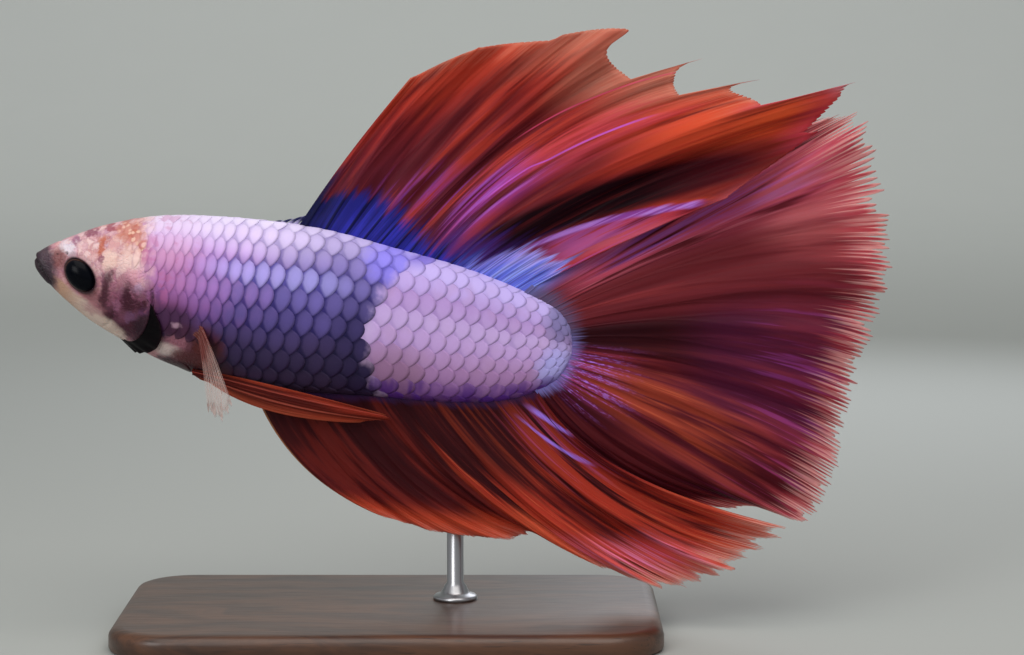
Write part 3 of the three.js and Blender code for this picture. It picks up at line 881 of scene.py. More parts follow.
def addScaleGroup(name, roots, material, rng):
    long, wide = coat["steps"]
    count = len(roots)
    t = np.linspace(0, 1, long + 1)[None, :, None]
    side = np.linspace(-1, 1, wide + 1)[None, None, :]
    side = np.sign(side) * np.abs(side) ** 0.85
    rootX, share = (roots[:, k][:, None, None] for k in (0, 1))
    space, pitchHere = girthAt(rootX) / coat["rows"], pitchAt(rootX)
    grown = rng.normal(1, coat["grown"], (count, 1, 1))
    across = side * coat["halfWidth"]
    down = across * np.sign(share)
    along = t * scaleEdge(down)
    x = np.clip(rootX + along * pitchHere * grown, 0, bodyLength - 0.05)
    narrow = coat["rootWidth"] + (1 - coat["rootWidth"]) * smoothStep(0, 0.4, t)
    aside = across * space * grown * narrow
    calm = 1 - coat["flatter"] * smoothStep(*coat["flatterFrom"], rootX)
    full = (smoothStep(5, 13, rootX) * 0.65 + 0.35) * (space / 1.6) ** 0.5 * calm
    tilt = rng.normal(0, coat["tilt"], (count, 1, 1)) * calm ** 2
    rise = coat["lift"] * full * along / coat["reach"] + tilt * t
    rise = rise + coat["dome"] * full * (1 - side ** 2) * np.sin(math.pi * np.clip(t * 0.92, 0, 1)) ** 0.8
    rise = rise - coat["sunk"] - coat["edgeDip"] * calm ** 2 * smoothStep(0.85, 1, t)
    top, bare, normal = skinPoint(x + 0 * side, share + aside / girthAt(rootX), rise)
    points = np.stack([top, top - normal * coat["thickness"]], 1).reshape(-1, 3)
    # how far this place lies beyond the edges of the three scales ahead that cover the root
    ahead = [scaleEdge(down) - 1] + [scaleEdge(down + k) - 0.5 for k in (-1, 1)]
    cover = along - np.max(ahead, axis=0) * (rootX > scaleStart(share) + pitchHere)
    shownAt = np.minimum(roots[:, 0] + 1.2 * pitchAt(roots[:, 0]), bodyLength - 0.05)
    rootPoint = bodyPoint(shownAt, turnAt(shownAt, roots[:, 1]))
    per = 2 * (long + 1) * (wide + 1)
    both = lambda a: np.stack([a + 0 * x, a + 0 * x], 1).ravel()
    spot = np.stack([bare, bare], 1).reshape(-1, 3)
    # a border crosses the scales in soft steps: behind the head most of each place is the scale's own
    own = np.repeat(0.2 + 0.4 * smoothStep(12, 21, roots[:, 0]), per)
    marks = {
        "place": np.repeat(rootPoint, per, 0) * own[:, None] + spot * (1 - own)[:, None],
        "spot": spot,
        "level": np.repeat(heightShare(rootPoint), per) * own + both(heightShare(bare)) * (1 - own),
        "lobe": np.stack([both(coat["reach"] - along), both(cover), both(down)], -1),
        "tone": np.repeat(rng.random(count), per),
    }
    faces, corners = scaleFaces(long, wide)
    allFaces = (faces[None] + (np.arange(count) * per)[:, None, None]).reshape(-1, 4)
    uv = scalePatches(roots, corners)
    piece = makePiece(name, toWorld(points), allFaces.tolist(), material, uv, marks)
    print(name + ":", count, "scales")


def scaleFaces(long, wide):
    # one closed plate: top grid, bottom grid and rim, with each corner's place in the unit patch
    columns = wide + 1
    faces = closedSheet(long + 1, columns, flip=True)
    vertex = faces.ravel() % ((long + 1) * columns)
    across = (vertex % columns) / wide - 0.5
    along = (vertex // columns) / long - 0.5
    upper = np.arange(len(vertex)) < 4 * long * wide
    along = np.where(upper, along * 0.84 - 0.08, 0.42 + 0.08 * along)
    return faces, np.stack([along, across], -1)


def scalePatches(roots, corners):
    # each side of the fish has the whole map for its own half of the girth
    middle = np.stack([0.03 + 0.9 * roots[:, 0] / bodyLength, 2 * np.abs(roots[:, 1])], -1)
    along, across = coat["patch"]
    size = np.stack([along * pitchAt(roots[:, 0]) / bodyLength, np.full(len(roots), across)], -1)
    return (middle[:, None, :] + corners[None] * size[:, None, :]).reshape(-1, 2)


# Eyes

def eyeMaterial():
    p = Paint("eye")
    away = p.mark("away") + (p.noise(p.markVector("place"), 3.0) - 0.5) * 0.05
    shown = p.ramp(away, [(0.0, "030409"), (0.82, "05070e"), (0.9, "141018"), (0.95, "4a3228"),
                          (0.98, "241618"), (1.0, "140c0d")])
    return p.finish({
        "Base Color": shown, "Roughness": 0.24, "Specular IOR Level": 0.07,
    })


def addEyes():
    material = eyeMaterial()
    rows, columns = eye["steps"]
    polar = np.linspace(0.02, math.pi - 0.02, rows)[:, None]
    turn = (2 * math.pi * np.arange(columns) / columns)[None, :]
    across, along = np.sin(polar) * np.cos(turn), np.sin(polar) * np.sin(turn)
    out = np.cos(polar) + 0 * turn
    away = np.where(out > 0, np.sin(polar), 2 - np.sin(polar)) + 0 * turn
    s, c = math.sin(eye["lean"]), math.cos(eye["lean"])
    x = eye["x"] + (across * eye["short"] * c - along * eye["long"] * s)
    z = eye["z"] + (across * eye["short"] * s + along * eye["long"] * c)
    total, last = rows * columns, (rows - 1) * columns
    for side, word in ((-1, "left"), (1, "right")):
        y = side * (eye["aside"] + eye["bulge"] * out)
        poles = [[eye["x"], side * (eye["aside"] + eye["bulge"] * k), eye["z"]] for k in (1, -1)]
        points = np.concatenate([np.stack([x, y, z], -1).reshape(-1, 3), poles])
        faces = gridFaces(rows, columns, flip=side > 0, closed=True).tolist()
        for j in range(columns):
            k = (j + 1) % columns
            near, far = [total, j, k], [total + 1, last + k, last + j]
            faces += [near, far] if side < 0 else [near[::-1], far[::-1]]
        marks = {"away": np.append(away.ravel(), [0, 2]), "place": points}
        piece = makePiece("eye_ball_" + word, toWorld(points), faces, material, marks=marks)
        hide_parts("eye_" + word)


# Gill membranes: the dark frill behind each gill cover, meeting under the throat

frill = {
    # turn from the back in degrees, inner x, outer x
    "run": [(100, 10.0, 10.25), (110, 10.3, 11.2), (124, 10.2, 11.95), (142, 9.5, 11.6), (158, 8.8, 10.6),
            (170, 8.3, 9.9), (179, 8.1, 9.6)],
    "steps": (90, 14),  # along and outward
    "folds": 7, "foldHeight": 0.06,
    "sunk": 0.12, "lift": 0.3, "droop": 0.2,
    "thickness": 0.1,
}


def frillMaterial():
    p = Paint("gillMembrane")
    place = p.markVector("place")
    streak = p.noise(p.stretch(place, (1.0, 1.0, 2.2)), 1.6, 4.0)
    shown = p.mix(p.ease(streak, 0.5, 0.75) * 0.4, "050205", "1c0e16")
    shown = p.mix(p.ease(p.mark("out"), 0.85, 1.0) * 0.35, shown, "281019")
    return p.finish({
        "Base Color": shown, "Roughness": 0.5, "Normal": p.bump(streak, 0.00008, 0.5),
        "Specular IOR Level": 0.07,
    })


def addFrills():
    material = frillMaterial()
    steps, deep = frill["steps"]
    u, v = np.meshgrid(np.linspace(0, 1, steps + 1), np.linspace(0, 1, deep + 1), indexing="ij")
    run = through(frill["run"], u)
    turn = np.radians(run[..., 0])
    x = run[..., 1] + (run[..., 2] - run[..., 1]) * v
    ends = np.sin(math.pi * u) ** 0.4
    low = smoothStep(0.55, 1.0, u)
    folds = frill["foldHeight"] * np.sin(2 * math.pi * frill["folds"] * u) * v
    lift = -frill["sunk"] + frill["lift"] * v ** 0.8 * (0.4 + 0.6 * ends) + folds + frill["droop"] * low * v
    half = frill["thickness"] / 2 * (1 - 0.5 * v)[..., None]
    for side, word in ((1, "left"), (-1, "right")):
        normal = bodyNormal(x, side * turn)
        middle = bodyPoint(x, side * turn) + normal * lift[..., None]
        points = np.concatenate([(middle + normal * way * half).reshape(-1, 3) for way in (1, -1)])
        faces = closedSheet(steps + 1, deep + 1, flip=side < 0)
        marks = {"place": points, "out": np.tile(v.ravel(), 2)}
        piece = makePiece("gill_frill_" + word, toWorld(points), faces.tolist(), material, marks=marks)
        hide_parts("gill_membrane_" + word)


# Fins: closed sheets through the same guide rays as the solids, with forking rays, folds and a frayed
# margin. rays lists each guide ray's root, middle and tip. teeth are the big points of the margin, with
# how deep it falls between them. rayCount is how many real rays the fin has, each forking twice. fray is
# how deep the threads of the margin part, at the first ray and at the last. waves are soft folds: how
# many, how high, how far they drift and where they start. red runs from the root to the margin, between
# valleys of painted shade and ridges of painted highlight; hairy is how strong its finest streaks are.
# marginTints are the tint of the thin margin, partly painted light shining through it, the tint of its
# threads and where on the way out the first starts.

dorsal = {
    "rays": [
        [[21.7, 0, 6.6], [24.8, 0, 13.0], [28.9, 0, 20.3]],
        [[24.1, 0, 6.4], [28.6, -0.2, 15.8], [34.2, -0.4, 23.8]],
        [[26.8, 0, 6.1], [33.6, 0.1, 17.1], [40.7, 0.3, 25.8]],
        [[29.0, 0, 5.8], [37.4, -0.2, 17.7], [46.1, -0.5, 26.9]],
        [[31.2, 0, 5.6], [40.7, 0, 18.0], [53.2, 0.1, 26.1]],
        [[33.0, 0, 5.5], [43.1, -0.4, 17.3], [58.1, -1.0, 25.1]],
        [[35.1, 0, 5.2], [47.5, -1.2, 16.4], [65.7, -2.4, 26.2]],
        [[37.9, 0, 4.8], [49.0, 0.3, 13.7], [63.8, -0.3, 21.7]],
        [[41.4, 0, 4.0], [48.8, -1.1, 9.6], [56.9, -2.4, 15.0]],
    ],
    "teeth": 8, "notch": [0.015, 0.025, -0.03, 0.21, 0.19, 0.18, 0.05, 0.02], "lean": 0.92,
    "pleats": 8, "rise": 0.16,
    "rayCount": 13, "fray": [0.002, 0.009], "rows": 54, "columnsPerTip": 5, "hollow": 3.2,
    "waves": [(4.3, 0.3, 0.2, 0.2), (7.7, 0.34, 0.3, 0.6), (15.3, 0.13, 0.5, 1.1)],
    "into": 0.07, "flare": 0.5, "seed": 3,
    "streaks": 60, "streakSeed": 1.0, "hairy": 0.16, "valleyShade": "420c14", "ridgeHighlight": "b83c2c",
    "red": [(0.0, "541a2e"), (0.28, "6a2230"), (0.5, "84262a"), (0.72, "a43226"), (1.0, "be4a32")],
    "marginTints": ("b0503c", "d89a84", 0.86),
}
caudal = {
    "rays": [
        [[41.4, 0, 4.1], [50.6, 1.5, 13.7], [64.9, 2.6, 23.2]],
        [[43.0, 0, 3.4], [55.4, 1.1, 12.9], [68.1, 1.9, 23.2]],
        [[43.8, 0, 2.7], [57.7, 0.4, 11.0], [71.2, 0.8, 15.4]],
        [[44.6, 0, 2.0], [59.3, -0.3, 7.6], [71.8, -0.6, 9.3]],
        [[45.2, 0, 1.0], [58.7, -0.3, 3.6], [70.9, -0.3, 3.1]],
        [[45.3, 0, -0.2], [59.0, 0.5, -0.6], [70.6, 0.9, -3.0]],
        [[45.1, 0, -1.4], [58.5, -0.2, -4.1], [70.1, -0.4, -7.8]],
        [[44.8, 0, -2.4], [57.5, -0.6, -7.3], [68.5, -1.0, -11.3]],
        [[44.4, 0, -3.3], [53.5, 0.3, -8.9], [64.6, 0.9, -11.0]],
        [[43.6, 0, -4.1], [50.3, 0.7, -9.2], [59.3, 1.4, -12.8]],
    ],
    "teeth": 27, "notch": [0.03, 0.02, 0.015, 0.015], "lean": 0.5,
    "pleats": 9, "rise": 0.15,
    "rayCount": 18, "fray": [0.075, 0.06], "rows": 52, "columnsPerTip": 5, "hollow": 1.3,
    "waves": [(5.7, 0.32, 0.3, 0.8), (10.3, 0.32, 0.4, 0.1), (23.6, 0.1, 0.6, 0.3)],
    "into": 0.08, "flare": 0.7, "seed": 5,
    "streaks": 80, "streakSeed": 17.0, "hairy": 0.25, "valleyShade": "400f19", "ridgeHighlight": "a03a3c",
    "red": [(0.0, "5e1c28"), (0.3, "6c222c"), (0.6, "6e2430"), (0.85, "8c2e3a"), (1.0, "b04448")],
    "marginTints": ("a63a46", "e0aaa6", 0.86),
}
anal = {
    "rays": [
        [[19.8, 0, -7.6], [25.0, 0, -13.7], [32.9, 0, -17.0]],
        [[23.3, 0, -7.4], [29.3, 0.1, -13.8], [37.3, 0.2, -17.7]],
        [[26.6, 0, -7.2], [34.3, 0, -13.8], [43.9, -0.1, -17.2]],
        [[30.0, 0, -6.8], [37.6, 0.2, -13.3], [46.6, 1.0, -16.5]],
        [[32.5, 0, -6.5], [41.3, -0.4, -13.5], [52.0, -0.8, -18.2]],
        [[35.0, 0, -6.2], [44.8, -0.6, -13.8], [57.4, -1.2, -19.0]],
        [[37.5, 0, -5.9], [48.3, -0.2, -13.6], [61.1, -0.5, -18.1]],
        [[40.0, 0, -5.4], [50.7, -0.6, -12.8], [63.4, -1.2, -16.3]],
        [[41.9, 0, -4.8], [52.3, -0.3, -11.7], [65.6, -0.7, -14.3]],
        [[43.9, 0, -4.0], [52.2, -0.8, -9.5], [67.6, -1.5, -12.0]],
    ],
    "teeth": 18, "notch": [0.02, 0.05], "lean": 0.4,
    "pleats": 9, "rise": 0.12,
    "rayCount": 22, "fray": [0.02, 0.06], "rows": 46, "columnsPerTip": 5, "hollow": 1.4,
    "waves": [(5.1, 0.32, 0.3, 0.5), (9.4, 0.3, 0.4, 0.2), (22.7, 0.1, 0.5, 0.9)],
    "into": 0.1, "flare": 0.5, "seed": 8,
    "streaks": 80, "streakSeed": 31.0, "hairy": 0.2, "valleyShade": "2c0c12", "ridgeHighlight": "70241f",
    "red": [(0.0, "3c1218"), (0.3, "441618"), (0.6, "561a1c"), (0.85, "8c2c24"), (1.0, "b0442c")],
    "marginTints": ("bc5240", "e0a498", 0.88),
}
pelvic = {
    "rays": [
        [[15.5, -1.7, -6.9], [23.0, -2.5, -7.2], [31.6, -1.9, -8.1]],
        [[15.6, -1.6, -7.3], [23.2, -2.5, -8.2], [32.1, -1.9, -8.4]],
        [[15.7, -1.3, -7.5], [21.5, -2.2, -9.3], [29.5, -1.7, -9.1]],
    ],
    "teeth": 2, "notch": [0.03, 0.03], "lean": 0.5,
    "pleats": 2, "rise": 0.05,
    "rayCount": 5, "fray": [0.01, 0.02], "rows": 60, "columnsPerTip": 4, "hollow": 1.0,
    "waves": [(2, 0.05, 0.3, 0.4)],
    "into": 0.05, "flare": 0.4, "seed": 12,
    "streaks": 14, "streakSeed": 43.0, "hairy": 0.3, "valleyShade": "340d0d", "ridgeHighlight": "a03c28",
    "red": [(0.0, "421210"), (0.5, "6c2019"), (1.0, "8c2c1d")],
}
pectoral = {
    "rays": [
        [[14.9, -3.7, -2.7], [16.6, -5.6, -4.9], [19.2, -8.0, -8.9]],
        [[15.0, -3.6, -3.2], [16.5, -5.5, -6.0], [18.4, -7.2, -10.3]],
        [[15.0, -3.5, -3.8], [16.0, -4.8, -6.6], [17.0, -5.6, -10.0]],
    ],
    "teeth": 4, "notch": [0.05, 0.05], "lean": 0.5,
    "pleats": 4, "rise": 0.06,
    "rayCount": 6, "fray": [0.05, 0.12], "rows": 46, "columnsPerTip": 5, "hollow": 1.0,
    "waves": [(3, 0.06, 0.3, 0.4)],
    "into": 0.12, "flare": 0.8, "seed": 14,
}
finSheet = {
    "root": 0.26, "margin": 0.07, "thinning": 0.6,  # thickness, and how fast it goes from one to the other
    "ray": 0.055, "rayLoss": 0.55,  # height of a ray at the root, and the share lost at the margin
    "rayWidth": (0.085, 0.035),  # as a share of the space between rays, and what it loses outwards
    "forks": [(0.22, 0.25), (0.5, 0.125)],  # where rays fork, and how far their branches part
    "threads": 8,  # of the margin to each ray
    "flareWidth": 0.05,
    "rim": (0.97, 0.7),  # where the outermost edge starts to thin, and by how much
}


def reach(fin, u):
    place = np.clip(u, 0, 0.99999) * fin["teeth"]
    inTooth = place % 1
    lean = fin["lean"]
    fall = np.where(inTooth < lean, inTooth / lean, (1 - inTooth) / (1 - lean)) ** (1 / fin["hollow"])
    stops = np.arange(len(fin["notch"]))
    depth = np.interp((np.floor(place) + 0.5) / fin["teeth"] * len(stops) - 0.5, stops, fin["notch"])
    return 1 - depth * fall


def finMiddle(fin, u, w):
    root, middle, tip = (through([ray[k] for ray in fin["rays"]], u) for k in range(3))
    v = w[..., None]
    point = (1 - v) * (1 - 2 * v) * root + 4 * v * (1 - v) * middle + v * (2 * v - 1) * tip
    outward = np.clip(w, 0, 1)
    sway = fin["rise"] * outward * np.sin(2 * math.pi * fin["pleats"] * u)
    for count, height, drift, start in fin["waves"]:
        sway = sway + height * outward ** 0.8 * np.sin(2 * math.pi * (count * u + drift * w + start))
    point[..., 1] += sway
    return point


def rayHeight(fin, u, w):
    # 1 on the crest of a ray, 0 on the membrane between: each ray forks in two, and each branch again
    phase = (u * fin["rayCount"]) % 1 - 0.5
    arms = [0 * w]
    for at, spread in finSheet["forks"]:
        spreadNow = spread * smoothStep(at, at + 0.35, w)
        arms = [arm + way * spreadNow for arm in arms for way in (-1, 1)]
    wide, loss = finSheet["rayWidth"]
    width = wide - loss * np.clip(w, 0, 1)
    return np.max([hill(phase - arm, width) for arm in arms], axis=0)


def finMargin(fin, u, rng):
    # reach of the margin with every branch ending in two threads of its own
    threads = fin["rayCount"] * finSheet["threads"]
    place = u * threads
    index = np.minimum(place.astype(int), threads - 1)
    aside = np.abs(2 * (place - index) - 1)
    fray = np.interp(u, [0, 1], fin["fray"])
    depth = 0.3 + 1.2 * rng.random(threads + 1) ** 1.6
    shorter = rng.random(threads + 1) ** 2 * 0.6
    before, after = depth[np.maximum(index - 1, 0)], depth[index + 1]
    between = np.maximum(depth[index], np.where(place - index < 0.5, before, after))
    return reach(fin, u) * (1 - fray * (shorter[index] * (1 - aside) + between * aside ** 2.2))


def addFin(name, nodes, fin, material, side=1):
    rng = np.random.default_rng(fin["seed"])
    columns = fin["rayCount"] * finSheet["threads"] * fin["columnsPerTip"]
    u = np.linspace(0, 1, columns + 1)
    margin = finMargin(fin, u, rng)
    out = np.linspace(0, 1, fin["rows"] + 1)
    gridU, gridOut = np.meshgrid(u, out, indexing="ij")
    w = -fin["into"] + (margin[:, None] + fin["into"]) * gridOut
    spread = np.clip(w, 0, 1)
    middle = finMiddle(fin, gridU, w)
    small = 0.003
    after, before = (finMiddle(fin, np.clip(gridU + step, 0, 1), w) for step in (small, -small))
    outward = finMiddle(fin, gridU, w + small) - finMiddle(fin, gridU, w - small)
    normal = np.cross(after - before, outward)
    normal /= np.linalg.norm(normal, axis=-1, keepdims=True)
    ray = rayHeight(fin, gridU, w)
    half = finSheet["root"] + (finSheet["margin"] - finSheet["root"]) * spread ** finSheet["thinning"]
    half = half / 2 + fin["flare"] / 2 * hill(spread, finSheet["flareWidth"])
    half = half + finSheet["ray"] * ray * (1 - finSheet["rayLoss"] * spread)
    edge, loss = finSheet["rim"]
    half = half * (1 - loss * smoothStep(edge, 1, gridOut))
    front, back = middle + normal * half[..., None], middle - normal * half[..., None]
    points = np.concatenate([front.reshape(-1, 3), back.reshape(-1, 3)])
    points[:, 1] *= side
    faces = closedSheet(columns + 1, fin["rows"] + 1, flip=side < 0)
    twice = lambda a: np.tile(a.ravel(), 2)
    marks = {
        "fin": np.stack([twice(gridU), twice(w), twice(gridOut)], -1),
        "ray": twice(ray),
    }
    uv = sheetPatches(faces, columns + 1, fin["rows"] + 1)
    piece = makePiece(name, toWorld(points), faces.tolist(), material, uv, marks)
    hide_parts(nodes)


def sheetPatches(faces, rows, columns):
    # the front in the lower half of the map, the back in the upper half and the rim on a strip of its own
    one = rows * columns
    sides = 2 * (rows - 1) * (columns - 1)
    i, j = np.divmod(faces.ravel() % one, columns)
    isBack = faces.ravel() >= one
    flat = np.stack([0.01 + 0.97 * i / (rows - 1), 0.01 + 0.46 * j / (columns - 1) + 0.49 * isBack], -1)
    order = np.repeat(np.arange(len(faces)) - sides, 4)
    total = 2 * (rows - 1) + 2 * (columns - 1)
    step = np.tile([0, 1, 1, 0], len(faces))
    strip = np.stack([0.01 + 0.97 * (order + step) / total, 0.98 + 0.008 * isBack], -1)
    return np.where((order >= 0)[:, None], strip, flat)


def finPaint(name, fin, colours):
    # shared by every red fin: streaks of several widths along the rays under the fin's own colours
    p = Paint(name)
    u, w, out = p.parts(p.markVector("fin"))
    ray = p.mark("ray")
    count, seed = fin["streaks"], fin["streakSeed"]
    streaks = {
        "hair": p.noise(p.joined(u * count * 2.6, w * 2.5, seed + 12.0), 1.0, 2.0, 0.5),
        "fine": p.noise(p.joined(u * count, w * 1.8, seed), 1.0, 3.0, 0.6),
        "silk": p.noise(p.joined(u * count * 0.4, w * 1.6, seed + 3.0), 1.0, 3.0, 0.55),
        "fold": p.noise(p.joined(u * count * 0.16, w * 1.1, seed + 6.0), 1.0, 2.0),
        "glitter": p.noise(p.joined(u * count * 1.6, w * 55, seed + 9.0), 1.0, 1.0),
    }
    height = streaks["silk"] * 0.6 + streaks["fine"] * 0.4 + streaks["hair"] * 0.2
    return p.finish({
        "Base Color": colours(p, u, w, out, streaks, ray), "Roughness": 0.5 - ray * 0.1,
        "Normal": p.bump(height, 0.00012, 0.5), "Specular IOR Level": 0.06,
        "Subsurface Weight": 0.25, "Subsurface Radius": (1.0, 0.25, 0.18), "Subsurface Scale": 0.0004,
    })


def redSilk(p, w, streaks, fin):
    # a red that changes outwards, with painted shade in valleys and painted highlights on ridges along the
    # rays
    fine, silk, fold = streaks["fine"], streaks["silk"], streaks["fold"]
    valleyShade, ridgeHighlight, hairy = fin["valleyShade"], fin["ridgeHighlight"], fin["hairy"]
    return p.layered(p.ramp(w + (silk - 0.5) * 0.25, fin["red"]), [
        (p.ease(silk + (fold - 0.5) * 0.8, 0.5, 0.66) * 0.7, ridgeHighlight),
        (p.ease(fold, 0.54, 0.38) * 0.6, valleyShade),
        (p.ease(silk, 0.47, 0.33) * 0.6, valleyShade),
        (p.ease(fine, 0.48, 0.34) * hairy, valleyShade),
        (p.ease(fine, 0.56, 0.72) * hairy, ridgeHighlight),
    ])


def marginGlow(p, shown, out, streaks, fin, strength):
    # towards the margin the fin thins to a lighter tint, partly its own colour and partly painted light
    # shining through the thin membrane, and ends in pale threads
    silk, hair = streaks["silk"], streaks["hair"]
    tint, tip, inner = fin["marginTints"]
    thin = p.ease(out + (hair - 0.5) * 0.3, 0.86, 1.0) * p.ease(hair, 0.42, 0.58)
    return p.layered(shown, [
        (p.ease(out + (silk - 0.5) * 0.2, inner, 0.98) * strength * 0.75, tint),
        (thin * strength * 0.6, tip),
        (p.ease(out, 0.965, 1.0) * strength * 0.7, tip),
    ])


def dorsalColours(p, u, w, out, streaks, ray):
    fine, silk, hair = streaks["fine"], streaks["silk"], streaks["hair"]
    stray, grain = silk - 0.5, fine - 0.5
    above, below = u - w * 0.21, u - w * 0.155
    # the thin stretch between the first spikes, painted shade in the valleys between three rays, and orange
    # towards the rear
    thin = p.ease(out + stray * 0.2, 0.66, 0.95) * p.within(u, 0.26, 0.66, 0.05)
    valleyShade = p.near(u - w * 0.02, 0.31, 0.035) * p.within(w, 0.15, 0.72, 0.12)
    valleyShade = valleyShade + p.near(u - w * 0.04, 0.45, 0.03) * p.within(w, 0.15, 0.6, 0.12)
    valleyShade = valleyShade + p.near(u - w * 0.02, 0.125, 0.02) * p.within(w, 0.3, 0.7, 0.12) * 0.7
    orange = p.ease(u, 0.58, 0.7) * p.ease(w, 0.45, 0.72) * p.ease(silk, 0.3, 0.5)
    orange = orange * p.ease(above, 0.72, 0.67)
    bright = p.within(u - w * 0.1, 0.68, 0.76, 0.03) * p.ease(w, 0.72, 0.86) * p.ease(silk, 0.36, 0.5)
    veins = p.ease(fine, 0.52, 0.4) * p.ease(u, 0.55, 0.66) * p.ease(w, 0.45, 0.65)
    shown = p.layered(redSilk(p, w + p.ease(u, 0.5, 0.8) * 0.12, streaks, dorsal), [
        (thin * 0.6, "b87866"),
        (p.upToOne(valleyShade) * 0.7, "4c0c12"),
        (orange * 0.85, "d04e2e"),
        (bright * 0.75, "e86034"),
        (veins * 0.5, "a4281e"),
    ])
    # a painted violet sheen low in the middle that reddens outwards, short streaks of it over the blue foot,
    # and painted highlights along two rays
    sheen = p.within(u + stray * 0.1, 0.55, 0.69, 0.04) * p.within(w, 0.12, 0.36, 0.1)
    sheen = sheen * p.ease(silk + grain * 0.5, 0.42, 0.6)
    low = p.ease(u, 0.14, 0.24) * p.within(w + stray * 0.1, 0.13, 0.3, 0.07)
    low = low * p.ease(fine * 0.5 + silk * 0.5, 0.5, 0.6)
    rose = p.within(u, 0.58, 0.7, 0.03) * p.within(w, 0.36, 0.74, 0.12) * p.ease(silk, 0.4, 0.56)
    kinked = p.near(u - w * 0.06 + p.ease(w, 0.42, 0.36) * 0.012, 0.619, 0.005)
    shown = p.layered(shown, [
        (sheen * 0.85, "943aa2"),
        (sheen * p.ease(fine, 0.5, 0.64) * 0.6, "c470d8"),
        (low * p.ease(u, 0.7, 0.5) * 0.55, "7e3a9c"),
        (rose * 0.6, "cc485c"),
        (kinked * p.within(w, 0.22, 0.66, 0.05) * 0.9, "c860cc"),
        (p.near(u - w * 0.13, 0.408, 0.005) * p.within(w, 0.45, 0.97, 0.05) * 0.75, "c8466c"),
    ])
    # painted shade in the dark fold, red at its far end, with a painted highlight on the ray under it and
    # the last rays in wine and rose
    slim = p.ease(w, 0.5, 1.0) * 0.03
    foldShade = p.ease(above - slim * 0.5 + stray * 0.03, 0.685, 0.715) * p.ease(below + slim, 0.842, 0.822)
    foldShade = foldShade * p.ease(w, 1.05, 0.8)
    # painted shade around the fold
    dusk = p.ease(above + stray * 0.04, 0.65, 0.7) * p.ease(below, 0.845, 0.83) * p.ease(w, 0.5, 0.7)
    last = p.ease(below, 0.838, 0.855)
    rosy = p.within(below + stray * 0.03, 0.885, 0.93, 0.02) * p.within(w, 0.25, 0.95, 0.1)
    lit = p.near(below + grain * 0.012 + stray * 0.008, 0.85, 0.012) * p.within(w, 0.17, 0.84, 0.06)
    shown = p.layered(shown, [
        (dusk * p.ease(w, 1.12, 0.95) * 0.75, "601a1c"),
        (foldShade * (p.ease(fine, 0.7, 0.5) * 0.3 + 0.68),
         p.mix(p.ease(w + grain * 0.3, 0.46, 0.84), "14030a", "480d17")),
        (last * 0.9, p.mix(p.ease(silk, 0.42, 0.58), "641426", "a43444")),
        (rosy * 0.7, "bc5468"),
        (last * p.ease(fine, 0.48, 0.6) * p.within(w, 0.2, 0.6, 0.1) * 0.55, "a0509c"),
        (lit * 0.8, "8240a0"),
        (lit * p.ease(hair * 0.4 + fine * 0.6, 0.46, 0.6) * 0.7, "be88e0"),
    ])
    shown = dorsalFoot(p, shown, u, w, streaks, ray)
    shown = marginGlow(p, shown, out, streaks, dorsal, p.ease(u, 0.8, 0.72) * 0.3)
    return p.layered(shown, [
        (p.ease(out, 0.9, 1.0) * p.within(u, 0.73, 0.9, 0.02) * 0.6, "bc3c58"),
        (p.ease(w, 0.93, 1.0) * p.within(u, 0.44, 0.78, 0.02) * 0.7, "d8a8b4"),
        (p.ease(u, 0.93, 1.0) * p.ease(w, 0.8, 1.0) * 0.6, "a8505c"),
    ])


def dorsalFoot(p, shown, u, w, streaks, ray):
    # blue foot: navy in front, royal, then thin sky-blue streaks at the rear
    fine, silk, hair = streaks["fine"], streaks["silk"], streaks["hair"]
    stray, grain = silk - 0.5, fine - 0.5
    foot = 0.17 - 0.13 * p.ease(u, 0.1, 0.6) + 0.26 * p.ease(u, 0.74, 1.06)
    jag = (stray * 0.16 + grain * 0.14 + (hair - 0.5) * 0.05) * (p.ease(u, 0.7, 0.88) * 1.4 + 1)
    height = w + jag
    blue = p.layered(p.mix(p.ease(u + stray * 0.2, 0.02, 0.14), "15153f", "262680"), [
        (p.ease(silk, 0.44, 0.6) * p.ease(u, 0.1, 0.2), "3434b0"),
        (p.ease(u + stray * 0.2, 0.7, 0.86), "6470e0"),
        (p.ease(fine, 0.48, 0.6) * p.ease(u, 0.74, 0.88) * 0.8, "9cacff"),
        (p.ease(height, foot - 0.14, foot) * p.ease(u, 0.76, 0.88) * 0.7, "b8a4f4"),
        (p.ease(hair, 0.54, 0.4) * p.ease(u, 0.7, 0.85) * 0.5, "3f2a78"),
        (p.ease(ray, 0.1, 0.7) * p.ease(u, 0.9, 0.7) * 0.85, "0c0c2c"),
        (p.ease(fine, 0.47, 0.34) * 0.6, "14133c"),
    ])
    dusk = p.within(u, 0.6, 0.84, 0.06) * p.ease(height, foot + 0.14, foot) * 0.75
    front = p.ease(u + stray * 0.03, 0.06, 0.01) * p.ease(w + grain * 0.2, 0.44, 0.26)
    return p.layered(shown, [
        (p.ease(height, foot + 0.035, foot - 0.03), blue),
        (dusk * p.ease(height, foot - 0.03, foot + 0.03), "4c2a80"),
        (front * 0.92, "12143e"),
    ])


